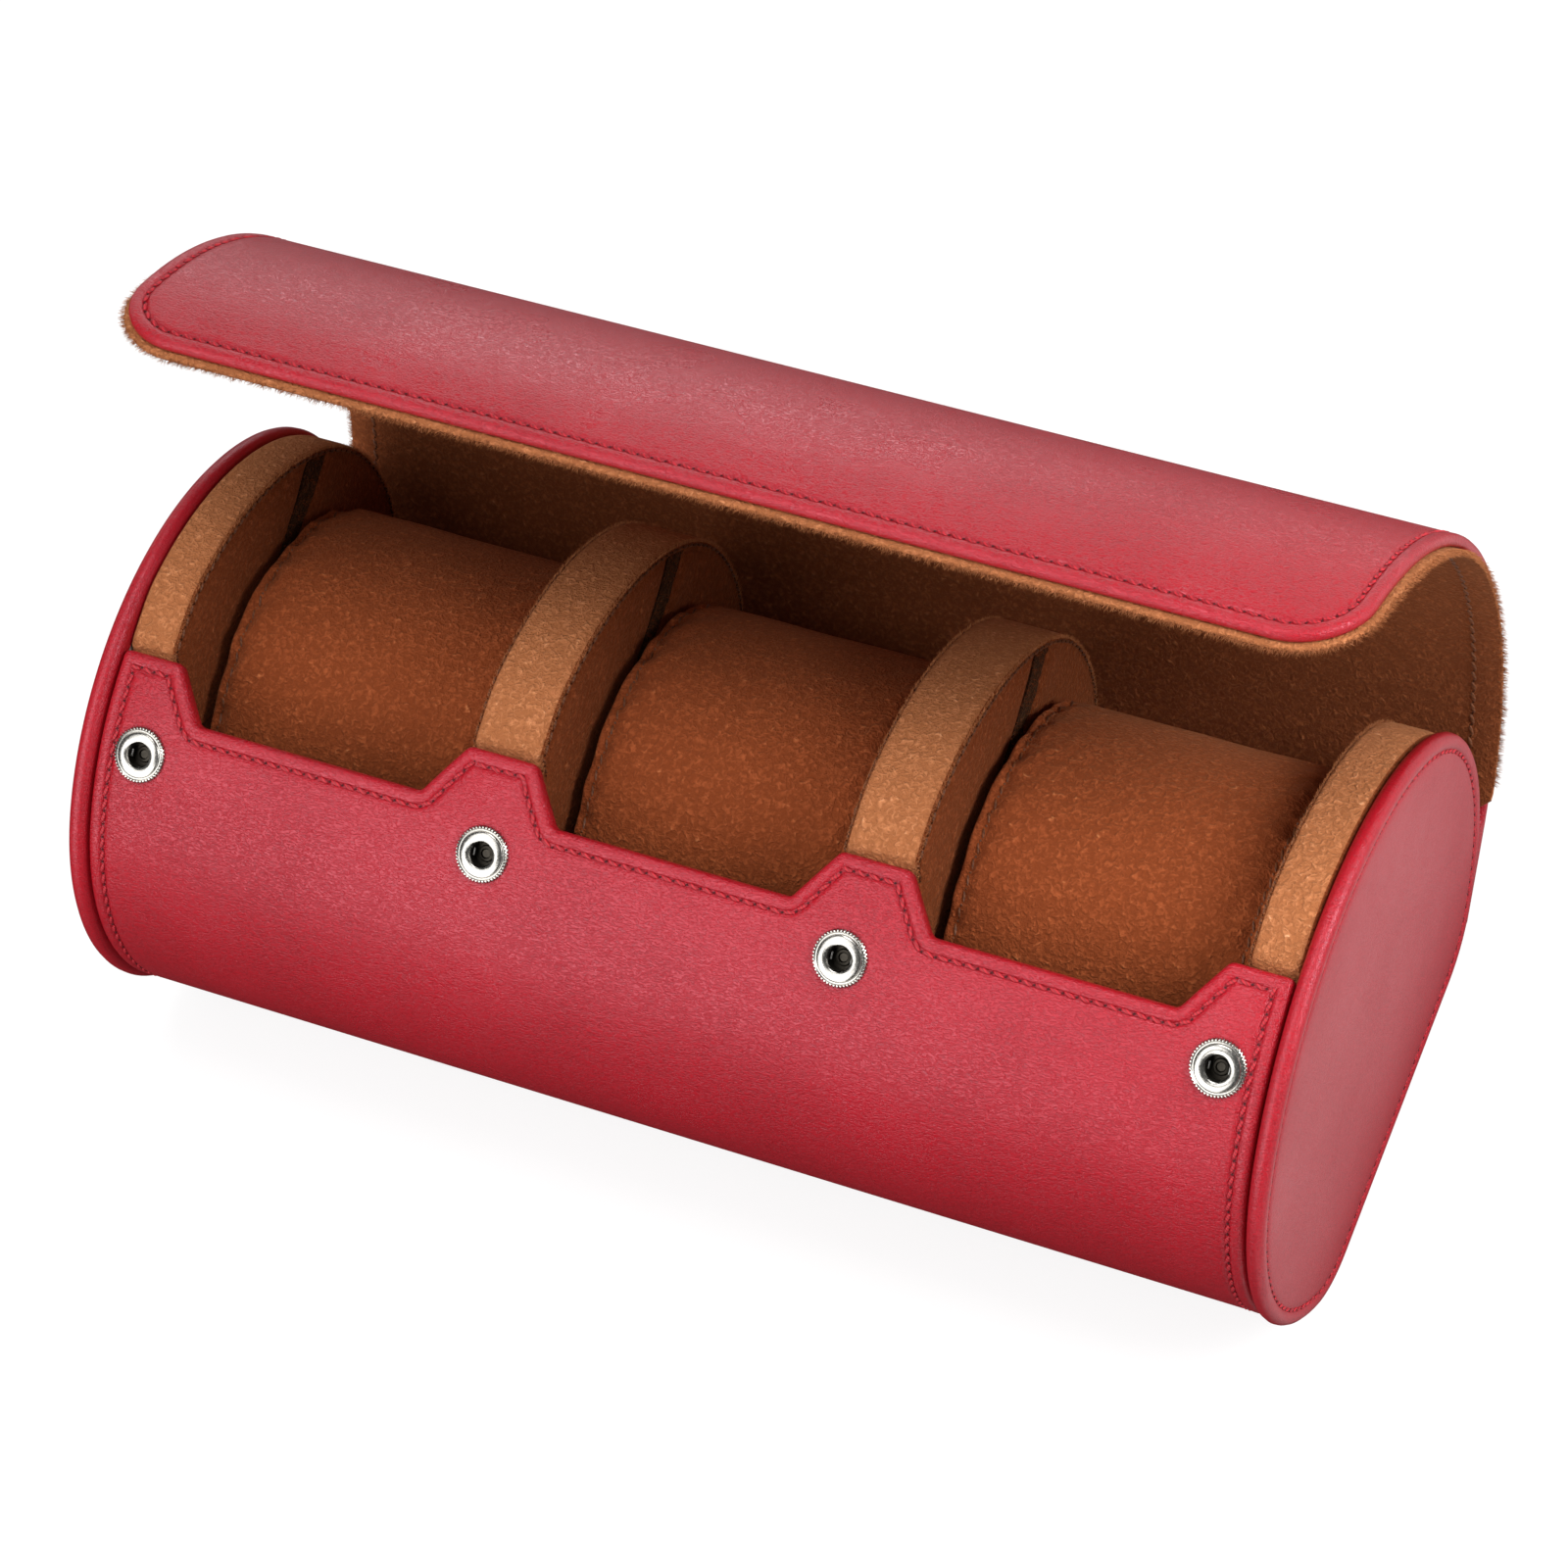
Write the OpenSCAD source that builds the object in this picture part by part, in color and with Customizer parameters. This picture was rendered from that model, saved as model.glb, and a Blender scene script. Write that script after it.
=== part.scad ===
// Travel case for watches: a stiff leather tub with two capped ends, two padded
// dividers and three cushions, closed by a long soft flap with snap fasteners.
// X runs along the case, -Y is the front with the snaps, +Z is up.
// The origin is the middle of the flat underside. Millimetres.

/* [Case section] */
// Length over the two end caps
case_l = 224; // [221:0.5:228]
// Width of the end caps from front to back
case_w = 104.4; // [103.8:0.1:105]
// Height of the end caps over the table
case_h = 84.2; // [83.8:0.1:84.6]
// Radius of the front and back arcs of the caps
side_r = 44; // [43.8:0.1:44.2]
// How far the tops of the front and back arcs lie below the top of the caps
shoulder_drop = 3.48; // [3.2:0.02:3.8]
// Radius of the two bottom corners of the caps
corner_r = 18; // [17:0.25:19]

/* [Wall] */
// Depth of the wall's leather below the rim of the caps
wall_in = 1.0; // [0.8:0.05:1.2]
// Thickness of the leather
leather_t = 1.2; // [1:0.05:1.3]
// Thickness of the stiff board in the wall
board_t = 1.4; // [1.2:0.05:1.6]
// Thickness of the suede lining
suede_t = 1.0; // [0.8:0.05:1.1]
// Width of leather turned over the edges of the board
turn_w = 1.3; // [1.1:0.1:1.6]
// Gap between the wall's ends and the caps
cap_gap = 0.3; // [0.2:0.05:0.5]
// Angle of the wall's front edge between the tabs, about the top arc's centre
window_angle = 113.9; // [113:0.1:115]
// Angle of the tops of the tabs, about the top arc's centre
tab_angle = 103.6; // [103:0.1:104.4]
// Angle of the wall's back edge, about the back arc's centre
back_angle = -34; // [-36:0.25:-33]

/* [Tabs] */
// Middle of the two whole tabs, from the middle of the case
tab_x = 34.6; // [34:0.1:35.2]
// Width of a whole tab at its top
tab_top_w = 12.6; // [11:0.2:14]
// Width of a whole tab at its foot
tab_foot_w = 25.2; // [24:0.2:26]
// Width of a half tab at its foot, up to the end of the case
half_tab_w = 21.2; // [20:0.1:22.5]

/* [End caps] */
// Thickness of the end caps
cap_t = 3.5; // [3.2:0.1:4]
// Depth of the padded drum inside each cap
end_pad_t = 9; // [8:0.25:10]

/* [Dividers] */
// Middle of the dividers, from the middle of the case
divider_x = 34.6; // [34:0.1:35.2]
// Width of the suede band round a divider
divider_t = 13; // [12:0.25:14]
// Depth of the bands below the rim of the caps, where the case is open
band_in = 2.2; // [2:0.1:2.6]
// Depth of the padded faces below the rim of the caps
pad_in = 6.0; // [5.8:0.1:6.4]
// Thickness of the board in a divider
divider_board_t = 3; // [2.5:0.25:3.5]
// Rise of the middle of the padded faces
crown = 0.9; // [0.6:0.1:1]

/* [Cushions] */
// Half depth of a cushion from front to back
cushion_a = 36; // [34:0.5:36.5]
// Half height of a cushion
cushion_b = 34; // [32:0.25:34.5]
// Middle of the cushions behind the middle of the case
cushion_y = 6; // [4:0.25:6.5]
// Gap between a cushion and the lining under it
cushion_gap = 0.35; // [0.3:0.05:0.6]
// Gap between a cushion and the padded faces beside it
cushion_side = 0.6; // [0.4:0.1:1]
// Radius of the foam roll in a cushion
roll_r = 20; // [16:0.5:22]

/* [Flap] */
// Angle of the hinge crease, about the back arc's centre
hinge_angle = -28; // [-28.5:0.25:-27.5]
// Distance of the hinge crease outside the caps
hinge_out = 3.7; // [3.6:0.05:3.9]
// Radius of the flap's creases as it stands open
flap_r = 71.5; // [71:0.25:72]
// Angle of the hinge crease on that arc
flap_angle = -44.3; // [-45:0.1:-43.5]
// Angle of each of the four panels behind the front one
panel_angle = 23.6; // [23.4:0.05:23.8]
// Angle of the front panel
lip_angle = 22.1; // [21.5:0.1:23.6]
// Depth of the creases below the flap's outer face
crease_in = 0.6; // [0.5:0.05:0.7]
// Thickness of the felt between the flap's leather and its lining
felt_t = 1.0; // [0.8:0.05:1.1]
// How far each end of the flap stops short of the case's length
flap_short = 0.7; // [0.5:0.1:2]
// Width of the lining that shows beyond the leather
lining_over = 0.7; // [0.4:0.1:1]
// Width of the leather border round the felt
border_w = 3.5; // [2.5:0.25:5]
// Radius of the flap's two front corners
corner_flap_r = 13; // [10:0.5:16]
// Gap between neighbouring panels of the flap
crease_gap = 1.2; // [1.1:0.05:1.4]

/* [Snaps] */
// Angle of the snaps, about the top arc's centre
snap_angle = 121.8; // [121.4:0.1:122.2]
// Inner snaps, from the middle of the case
snap_inner_x = 33.2; // [32.5:0.1:34.5]
// Outer snaps, from the ends of the case
snap_end = 12.1; // [11.6:0.1:12.5]
// Radius of a snap's ring
ring_r = 4.9; // [4.6:0.05:5.2]
// Height of a snap's ring above the leather
ring_h = 0.9; // [0.7:0.05:0.95]
// Radius of a snap's socket
socket_r = 2.1; // [2:0.05:2.2]
// Radius of a snap's stud
stud_r = 1.25; // [1.1:0.05:1.3]
// Length of a stud below the flap's lining
stud_l = 2.2; // [1.8:0.1:2.4]

/* [Hidden] */
$fn = 96;

red = [0.70, 0.13, 0.17];
tan = [0.66, 0.42, 0.22];
board_grey = [0.45, 0.43, 0.40];
felt_grey = [0.55, 0.52, 0.48];
nickel = [0.78, 0.78, 0.76];
steel = [0.62, 0.62, 0.62];

// Depths of the wall's layers below the rim of the caps
board_in = wall_in + leather_t;
lining_in = board_in + board_t;
inside_in = lining_in + suede_t;

// Lengths along the case
half_l = case_l / 2;
cap_x = half_l - cap_t;
wall_x = cap_x - cap_gap;
pad_x = cap_x - end_pad_t;
flap_l = case_l - 2 * flap_short;
half_tab_x = half_l - half_tab_w;
snap_outer_x = half_l - snap_end;
ground_gap = 0.3;
foot_gap = 0.7;

// Centres of the arcs of the caps
side_y = case_w / 2 - side_r;
side_z = case_h - shoulder_drop - side_r;
top_z = side_z + (shoulder_drop - side_y * side_y / shoulder_drop) / 2;
top_r = case_h - top_z;
top_c = [0, top_z];
side_c = [side_y, side_z];
side_top_angle = atan2(side_z - top_z, side_y);

function dir(a) = [cos(a), sin(a)];
function flip(p) = [-p[0], p[1]];
function turned(p, c, a) = [
  c[0] + (p[0] - c[0]) * cos(a) - (p[1] - c[1]) * sin(a),
  c[1] + (p[0] - c[0]) * sin(a) + (p[1] - c[1]) * cos(a)
];

// Centre of a bottom corner for an outline set in by t with its flat at height b
function cornerZ(t, b) = b + corner_r - t;
function cornerY(t, b) = side_y
  + sqrt(pow(side_r - corner_r, 2) - pow(side_z - cornerZ(t, b), 2));
function cornerA(t, b) = atan2(side_z - cornerZ(t, b), cornerY(t, b) - side_y);

// Creases of the flap as it stands open, the hinge first
panels = 5;
hinge_p = side_c + (side_r + hinge_out) * dir(hinge_angle);
flap_c = hinge_p - flap_r * dir(flap_angle);
crease = [for (i = [0:panels - 1]) flap_c + flap_r * dir(flap_angle + panel_angle * i)];

// Turn of each panel on the one before when the flap closes
close_angle = [21.8, 13.0, 9.2, 3.3, 7.0];
function opened(p, i) = i == panels ? p : opened(turned(p, crease[i], -close_angle[i]), i + 1);
function closeSum(i) = i == panels ? 0 : close_angle[i] + closeSum(i + 1);

flap_out_r = flap_r + crease_in;
felt_out_r = flap_out_r - leather_t;
lining_out_r = felt_out_r - felt_t;
flap_in_r = lining_out_r - suede_t;
gap_angle = crease_gap / 2 / flap_r * 180 / PI;

// Seat of the snaps on the wall, and where it lies on the open flap
snap_x = [-snap_outer_x, -snap_inner_x, snap_inner_x, snap_outer_x];
seat_p = top_c + (top_r - wall_in) * dir(snap_angle);
seat_open_p = opened(seat_p, 0);
stud_angle = snap_angle - closeSum(0);
seat_sink = 0.3;
socket_floor = 1.9;
socket_wall = 0.4;
spring_r = 0.2;
spring_x = 1.8;
spring_z = -0.7;
stud_flange_r = 4.0;
stud_flange_t = 0.7;

// A 2-D shape drawn in (Y, Z), drawn out along X from x0 to x1
module along(x0, x1) {
  translate([x0, 0, 0])
    rotate([90, 0, 90])
      linear_extrude(x1 - x0)
        children();
}

module sector(c, r, a0, a1) {
  mid = (a0 + a1) / 2;
  intersection() {
    translate(c)
      circle(r);
    polygon([c, c + 2 * r * dir(a0), c + 2.4 * r * dir(mid), c + 2 * r * dir(a1)]);
  }
}

// Outline of the caps set in by t, with its flat at height b. The smaller arcs run
// on a little inside the larger ones, so that their pieces overlap.
module outline(t, b) {
  cy = cornerY(t, b);
  cz = cornerZ(t, b);
  k = cornerA(t, b);
  run_on = 6;
  low = side_c + 0.7 * (side_r - t) * dir(-k / 2);
  high = side_c + 0.8 * (side_r - t) * dir(side_top_angle / 2);
  polygon([[-cy, b], [cy, b], low, high, flip(high), flip(low)]);
  sector(top_c, top_r - t, side_top_angle, 180 - side_top_angle);
  sector(side_c, side_r - t, -k, side_top_angle + run_on);
  sector(flip(side_c), side_r - t, 180 - side_top_angle - run_on, 180 + k);
  sector([cy, cz], corner_r - t, -90 - run_on, -k + run_on);
  sector([-cy, cz], corner_r - t, 180 + k - run_on, 270 + run_on);
}

// Height of the flat of a layer of the wall at depth t
function flatZ(t) = t - wall_in;

// The side of the section that the wall leaves open, with edges set in by e
module openSide(front_a, back) {
  far = 200;
  polygon([
    top_c + 30 * dir(front_a), top_c + far * dir(front_a), [0, 2 * far], [2 * far, far],
    side_c + far * dir(back), side_c + 25 * dir(back)
  ]);
}

// One opening in the wall between two tabs, its foot from xa to xb
module window(xa, xb, e) {
  half_h = (top_r - wall_in) * sin((window_angle - tab_angle) / 2);
  slope = (tab_foot_w - tab_top_w) / 4 / half_h;
  reach = e * sqrt(1 + slope * slope);
  low = -half_h - e;
  high = half_h + 8;
  side_low = reach + slope * (low + half_h);
  side_high = reach + slope * (high + half_h);
  translate([0, 0, top_z])
    rotate([(window_angle + tab_angle) / 2 - 90, 0, 0])
      translate([0, 0, 40])
        linear_extrude(30)
          polygon([
            [xa - side_low, low], [xb + side_low, low],
            [xb + side_high, high], [xa - side_high, high]
          ]);
}

// A layer of the wall between depths t0 and t1, with its edges set in by e
module wall(t0, t1, e) {
  edge_a = e / top_r * 180 / PI;
  back_e = e / side_r * 180 / PI;
  difference() {
    along(-wall_x + e, wall_x - e)
      difference() {
        outline(t0, flatZ(t0));
        outline(t1, flatZ(t1));
        openSide(tab_angle + edge_a, back_angle - back_e);
      }
    window(-half_tab_x, -tab_x - tab_foot_w / 2, e);
    window(-tab_x + tab_foot_w / 2, tab_x - tab_foot_w / 2, e);
    window(tab_x + tab_foot_w / 2, half_tab_x, e);
  }
}

// Moves a snap drawn at the origin, +Z outward, to its seat on the wall
module atSeats() {
  for (x = snap_x)
    translate([x, seat_p[0], seat_p[1]])
      rotate([snap_angle - 90, 0, 0])
        children();
}

// The same seats, carried by the front edge of the open flap
module atOpenSeats() {
  for (x = snap_x)
    translate([x, seat_open_p[0], seat_open_p[1]])
      rotate([stud_angle - 90, 0, 0])
        children();
}

module snapSeat() {
  translate([0, 0, -seat_sink])
    cylinder(r = ring_r, h = 4);
  translate([0, 0, -socket_floor - socket_wall])
    cylinder(r = socket_r + socket_wall, h = 4);
}

module wall_cover() {
  color(red)
    difference() {
      wall(wall_in, inside_in, 0);
      wall(board_in, inside_in + 1, turn_w);
      atSeats()
        snapSeat();
    }
}

module wall_board() {
  color(board_grey)
    difference() {
      wall(board_in, lining_in, turn_w);
      atSeats()
        snapSeat();
    }
}

module wall_lining() {
  color(tan)
    wall(lining_in, inside_in, turn_w);
}

// The leather that rises from the bottom to the hinge crease of the flap
module hinge_spine() {
  top_p = flap_c + flap_out_r * dir(flap_angle - gap_angle);
  run = dir(flap_angle - 90);
  spine_in = 7;
  drop = (top_p[1] - ground_gap - foot_gap) / -run[1];
  foot_p = top_p + drop * run;
  color(red)
    difference() {
      along(-flap_l / 2, flap_l / 2)
        polygon([
          top_p, foot_p,
          side_c + (side_r - spine_in) * dir(2 * hinge_angle),
          flap_c + (flap_r - spine_in) * dir(flap_angle - gap_angle)
        ]);
      along(-half_l - 1, half_l + 1)
        outline(wall_in, flatZ(wall_in));
      along(cap_x - cap_gap, half_l + 1)
        outline(0, ground_gap);
      along(-half_l - 1, -cap_x + cap_gap)
        outline(0, ground_gap);
    }
}

// A right-hand end cap's leather: a rounded rim round a pocket for the board
module capSolid() {
  r = cap_t / 2;
  steps = 6;
  rings = concat(
    [ringAt(cap_x, outlinePoints(14, 14, 2))],
    [
      for (i = [0:steps])
        let (a = -90 + 180 * i / steps, t = r * (1 - cos(a)))
          ringAt(cap_x + r * (1 + sin(a)), outlinePoints(t, ground_gap + t, 2))
    ],
    [ringAt(half_l, outlinePoints(14, 14, 2))]
  );
  skinned(rings, [0, side_z]);
}

module capCover() {
  difference() {
    capSolid();
    along(cap_x - 1, half_l - leather_t)
      outline(cap_t, ground_gap + cap_t);
  }
}

module capBoard() {
  along(cap_x, half_l - leather_t)
    outline(cap_t, ground_gap + cap_t);
}

module cap_cover_left() {
  color(red)
    mirror([1, 0, 0])
      capCover();
}

module cap_cover_right() {
  color(red)
    capCover();
}

module cap_board_left() {
  color(board_grey)
    mirror([1, 0, 0])
      capBoard();
}

module cap_board_right() {
  color(board_grey)
    capBoard();
}

// A suede band round a drum or a divider, from x0 to x1
module band(x0, x1) {
  edge_a = 0.6;
  along(x0, x1)
    difference() {
      union() {
        outline(inside_in, flatZ(inside_in));
        intersection() {
          outline(band_in, band_in);
          openSide(tab_angle - edge_a, back_angle + edge_a);
        }
      }
      outline(pad_in, pad_in);
    }
}

module end_band_left() {
  color(tan)
    band(-cap_x, -pad_x);
}

module end_band_right() {
  color(tan)
    band(pad_x, cap_x);
}

module divider_band_left() {
  color(tan)
    band(-divider_x - divider_t / 2, -divider_x + divider_t / 2);
}

module divider_band_right() {
  color(tan)
    band(divider_x - divider_t / 2, divider_x + divider_t / 2);
}

module dividerBoard(x) {
  along(x - divider_board_t / 2, x + divider_board_t / 2)
    outline(pad_in, pad_in);
}

module divider_board_left() {
  color(board_grey)
    dividerBoard(-divider_x);
}

module divider_board_right() {
  color(board_grey)
    dividerBoard(divider_x);
}

// Points along an arc, both ends included
function arcPoints(c, r, a0, a1, n) = [for (i = [0:n]) c + r * dir(a0 + (a1 - a0) * i / n)];
function without(list) = [for (i = [1:len(list) - 1]) list[i]];

// Points of the outline set in by t, from the bottom right corner round; more
// multiplies their number
function outlinePoints(t, b, more) = let (
  cy = cornerY(t, b), cz = cornerZ(t, b), k = cornerA(t, b)
) concat(
  arcPoints([cy, cz], corner_r - t, -90, -k, 4 * more),
  without(arcPoints(side_c, side_r - t, -k, side_top_angle, 8 * more)),
  without(arcPoints(top_c, top_r - t, side_top_angle, 180 - side_top_angle, 10 * more)),
  without(arcPoints(flip(side_c), side_r - t, 180 - side_top_angle, 180 + k, 8 * more)),
  without(arcPoints([-cy, cz], corner_r - t, 180 + k, 270, 4 * more))
);

// A ring of points at x, and the same ring scaled about the point c
function ringAt(x, points) = [for (p = points) [x, p[0], p[1]]];
function scaledRing(x, points, c, s) = ringAt(x, [for (p = points) c + (p - c) * s]);

// A closed skin over rings of points in order along X, closed at its ends on c
module skinned(rings, c) {
  n = len(rings[0]);
  m = len(rings);
  verts = concat(
    [[rings[0][0][0], c[0], c[1]]],
    [for (ring = rings) for (p = ring) p],
    [[rings[m - 1][0][0], c[0], c[1]]]
  );
  last = m * n + 1;
  faces = concat(
    [for (i = [0:n - 1]) [0, 1 + i, 1 + (i + 1) % n]],
    [
      for (r = [0:m - 2]) for (i = [0:n - 1])
        [1 + r * n + i, 1 + (r + 1) * n + i, 1 + r * n + (i + 1) % n]
    ],
    [
      for (r = [0:m - 2]) for (i = [0:n - 1])
        [1 + r * n + (i + 1) % n, 1 + (r + 1) * n + i, 1 + (r + 1) * n + (i + 1) % n]
    ],
    [for (i = [0:n - 1]) [last, 1 + (m - 1) * n + (i + 1) % n, 1 + (m - 1) * n + i]]
  );
  polyhedron(verts, faces);
}

// A padded face t thick with a crown, its back at x = 0 and its face towards +X
module pad(t) {
  inset = pad_in + 0.15;
  points = outlinePoints(inset, inset, 1);
  centre = [0, side_z];
  profile = [
    [0, 0.5], [0, 0.985], [t * 0.35, 1], [t * 0.7, 0.995], [t * 0.92, 0.97],
    [t + crown * 0.2, 0.9], [t + crown * 0.7, 0.6], [t + crown, 0.25]
  ];
  skinned([for (q = profile) scaledRing(q[0], points, centre, q[1])], centre);
}

end_pad_gap = 0.1;
end_face_t = end_pad_t - end_pad_gap;
divider_face_t = (divider_t - divider_board_t) / 2 - 0.1;

module end_pad_left() {
  color(tan)
    translate([-cap_x + end_pad_gap, 0, 0])
      pad(end_face_t);
}

module end_pad_right() {
  color(tan)
    translate([cap_x - end_pad_gap, 0, 0])
      mirror([1, 0, 0])
        pad(end_face_t);
}

module dividerPad(x, side) {
  back = divider_board_t / 2 + 0.05;
  translate([x + side * back, 0, 0])
    mirror([side < 0 ? 1 : 0, 0, 0])
      pad(divider_face_t);
}

module divider_pad_left_outer() {
  color(tan)
    dividerPad(-divider_x, -1);
}

module divider_pad_left_inner() {
  color(tan)
    dividerPad(-divider_x, 1);
}

module divider_pad_right_inner() {
  color(tan)
    dividerPad(divider_x, -1);
}

module divider_pad_right_outer() {
  color(tan)
    dividerPad(divider_x, 1);
}

// Middles and half lengths of the cushions, between the crowned faces
cushion_z = flatZ(inside_in) + cushion_gap + cushion_b;
side_from = divider_x + divider_t / 2 + crown;
side_to = pad_x - crown;
side_cushion_x = (side_from + side_to) / 2;
side_cushion_l = (side_to - side_from) / 2 - cushion_side;
middle_cushion_l = divider_x - divider_t / 2 - crown - cushion_side;
cushion_points = 32;

module cushion(half) {
  centre = [cushion_y, cushion_z];
  points = [
    for (i = [0:cushion_points - 1])
      let (a = 360 * i / cushion_points)
        centre + [cushion_a * cos(a), cushion_b * sin(a)]
  ];
  profile = [
    [-1, 0.6], [-0.995, 0.88], [-0.98, 0.935], [-0.955, 0.965], [-0.88, 0.985],
    [-0.7, 0.994], [-0.38, 0.999], [0, 1], [0.38, 0.999], [0.7, 0.994],
    [0.88, 0.985], [0.955, 0.965], [0.98, 0.935], [0.995, 0.88], [1, 0.6]
  ];
  skinned([for (q = profile) scaledRing(q[0] * half, points, centre, q[1])], centre);
}

module roll(x, half) {
  translate([x - half + 6, cushion_y, cushion_z])
    rotate([0, 90, 0])
      cylinder(r = roll_r, h = 2 * half - 12);
}

module cushionCover(x, half) {
  difference() {
    translate([x, 0, 0])
      cushion(half);
    roll(x, half);
  }
}

module cushion_cover_left() {
  color(tan)
    cushionCover(-side_cushion_x, side_cushion_l);
}

module cushion_cover_middle() {
  color(tan)
    cushionCover(0, middle_cushion_l);
}

module cushion_cover_right() {
  color(tan)
    cushionCover(side_cushion_x, side_cushion_l);
}

module cushion_roll_left() {
  color(felt_grey)
    roll(-side_cushion_x, side_cushion_l);
}

module cushion_roll_middle() {
  color(felt_grey)
    roll(0, middle_cushion_l);
}

module cushion_roll_right() {
  color(felt_grey)
    roll(side_cushion_x, side_cushion_l);
}

// A slice of the open flap between two radii and two angles on its arc
module slice(r0, r1, a0, a1, half) {
  along(-half, half)
    difference() {
      sector(flap_c, r1, a0, a1);
      translate(flap_c)
        circle(r0);
    }
}

// Angle of the front edge of a layer that reaches past the leather by over
function frontA(over) = flap_angle + panel_angle * (panels - 1) + lip_angle + over / flap_r * 180 / PI;

// What is cut from the front panel to round its two corners
module roundFront(over) {
  half = flap_l / 2 + over;
  r = corner_flap_r + over;
  for (side = [0, 1])
    mirror([side, 0, 0])
      translate([half - r, flap_c[0], flap_c[1]])
        rotate([frontA(over) - 90, 0, 0])
          translate([0, 0, 55])
            linear_extrude(30)
              difference() {
                translate([0, -3])
                  square([r + 3, r + 3]);
                translate([0, r])
                  circle(r + 0.02);
              }
}

// Start and end of panel i on the flap's arc, counted from 0
function startA(i) = flap_angle + panel_angle * i + gap_angle;
function endA(i, over) = i == panels - 1 ? frontA(over) : flap_angle + panel_angle * (i + 1) - gap_angle;

// The felt of panel i, from the radius r0, its ends longer by the angle more
module felt(i, r0, more) {
  end = i == panels - 1 ? frontA(-border_w) : endA(i, 0) + more;
  difference() {
    slice(r0, felt_out_r, startA(i) - more, end, flap_l / 2 - border_w);
    if (i == panels - 1)
      roundFront(-border_w);
  }
}

module flapCover(i) {
  color(red)
    difference() {
      slice(lining_out_r, flap_out_r, startA(i), endA(i, 0), flap_l / 2);
      felt(i, lining_out_r - 1, 0.5);
      if (i == panels - 1)
        roundFront(0);
    }
}

module flapFelt(i) {
  color(felt_grey)
    felt(i, lining_out_r, 0);
}

module flapLining(i) {
  color(tan)
    difference() {
      slice(
        flap_in_r, lining_out_r, startA(i), endA(i, lining_over),
        flap_l / 2 + lining_over
      );
      if (i == panels - 1)
        roundFront(lining_over);
      if (i == panels - 1)
        atOpenSeats()
          cylinder(r = stud_flange_r, h = 10);
    }
}

module flap_cover_1() {
  flapCover(0);
}

module flap_cover_2() {
  flapCover(1);
}

module flap_cover_3() {
  flapCover(2);
}

module flap_cover_4() {
  flapCover(3);
}

module flap_cover_5() {
  flapCover(4);
}

module flap_felt_1() {
  flapFelt(0);
}

module flap_felt_2() {
  flapFelt(1);
}

module flap_felt_3() {
  flapFelt(2);
}

module flap_felt_4() {
  flapFelt(3);
}

module flap_felt_5() {
  flapFelt(4);
}

module flap_lining_1() {
  flapLining(0);
}

module flap_lining_2() {
  flapLining(1);
}

module flap_lining_3() {
  flapLining(2);
}

module flap_lining_4() {
  flapLining(3);
}

module flap_lining_5() {
  flapLining(4);
}

module snap_sockets() {
  color(nickel)
    atSeats()
      difference() {
        union() {
          translate([0, 0, -seat_sink])
            cylinder(r = ring_r, h = seat_sink + 0.3);
          cylinder(r = ring_r - 0.45, h = ring_h - 0.25);
          cylinder(r = ring_r - 1.1, h = ring_h);
          translate([0, 0, -socket_floor - socket_wall])
            cylinder(r = socket_r + socket_wall, h = socket_floor + socket_wall);
        }
        translate([0, 0, -socket_floor])
          cylinder(r = socket_r, h = socket_floor + ring_h + 1);
      }
}

module snap_springs() {
  reach = sqrt(socket_r * socket_r - pow(spring_x + spring_r, 2));
  color(steel)
    atSeats()
      for (x = [-spring_x, spring_x])
        translate([x, 0, spring_z])
          rotate([90, 0, 0])
            cylinder(r = spring_r, h = 2 * reach, center = true, $fn = 24);
}

module snap_studs() {
  seat_r = norm(seat_open_p - flap_c);
  lining_z = flap_in_r - seat_r;
  color(nickel)
    atOpenSeats() {
      translate([0, 0, lining_z])
        cylinder(r = stud_flange_r, h = stud_flange_t);
      translate([0, 0, lining_z - stud_l])
        cylinder(r = stud_r, h = stud_l + stud_flange_t / 2);
    }
}

wall_cover();
wall_board();
wall_lining();
hinge_spine();
cap_cover_left();
cap_cover_right();
cap_board_left();
cap_board_right();
end_band_left();
end_band_right();
end_pad_left();
end_pad_right();
divider_band_left();
divider_band_right();
divider_board_left();
divider_board_right();
divider_pad_left_outer();
divider_pad_left_inner();
divider_pad_right_inner();
divider_pad_right_outer();
snap_sockets();
snap_springs();
cushion_cover_left();
cushion_cover_middle();
cushion_cover_right();
cushion_roll_left();
cushion_roll_middle();
cushion_roll_right();
flap_cover_1();
flap_felt_1();
flap_lining_1();
flap_cover_2();
flap_felt_2();
flap_lining_2();
flap_cover_3();
flap_felt_3();
flap_lining_3();
flap_cover_4();
flap_felt_4();
flap_lining_4();
flap_cover_5();
flap_felt_5();
flap_lining_5();
snap_studs();
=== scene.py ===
import bpy
import bmesh
import math
import random
from mathutils import Matrix, Vector, noise
from mathutils.bvhtree import BVHTree


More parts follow.
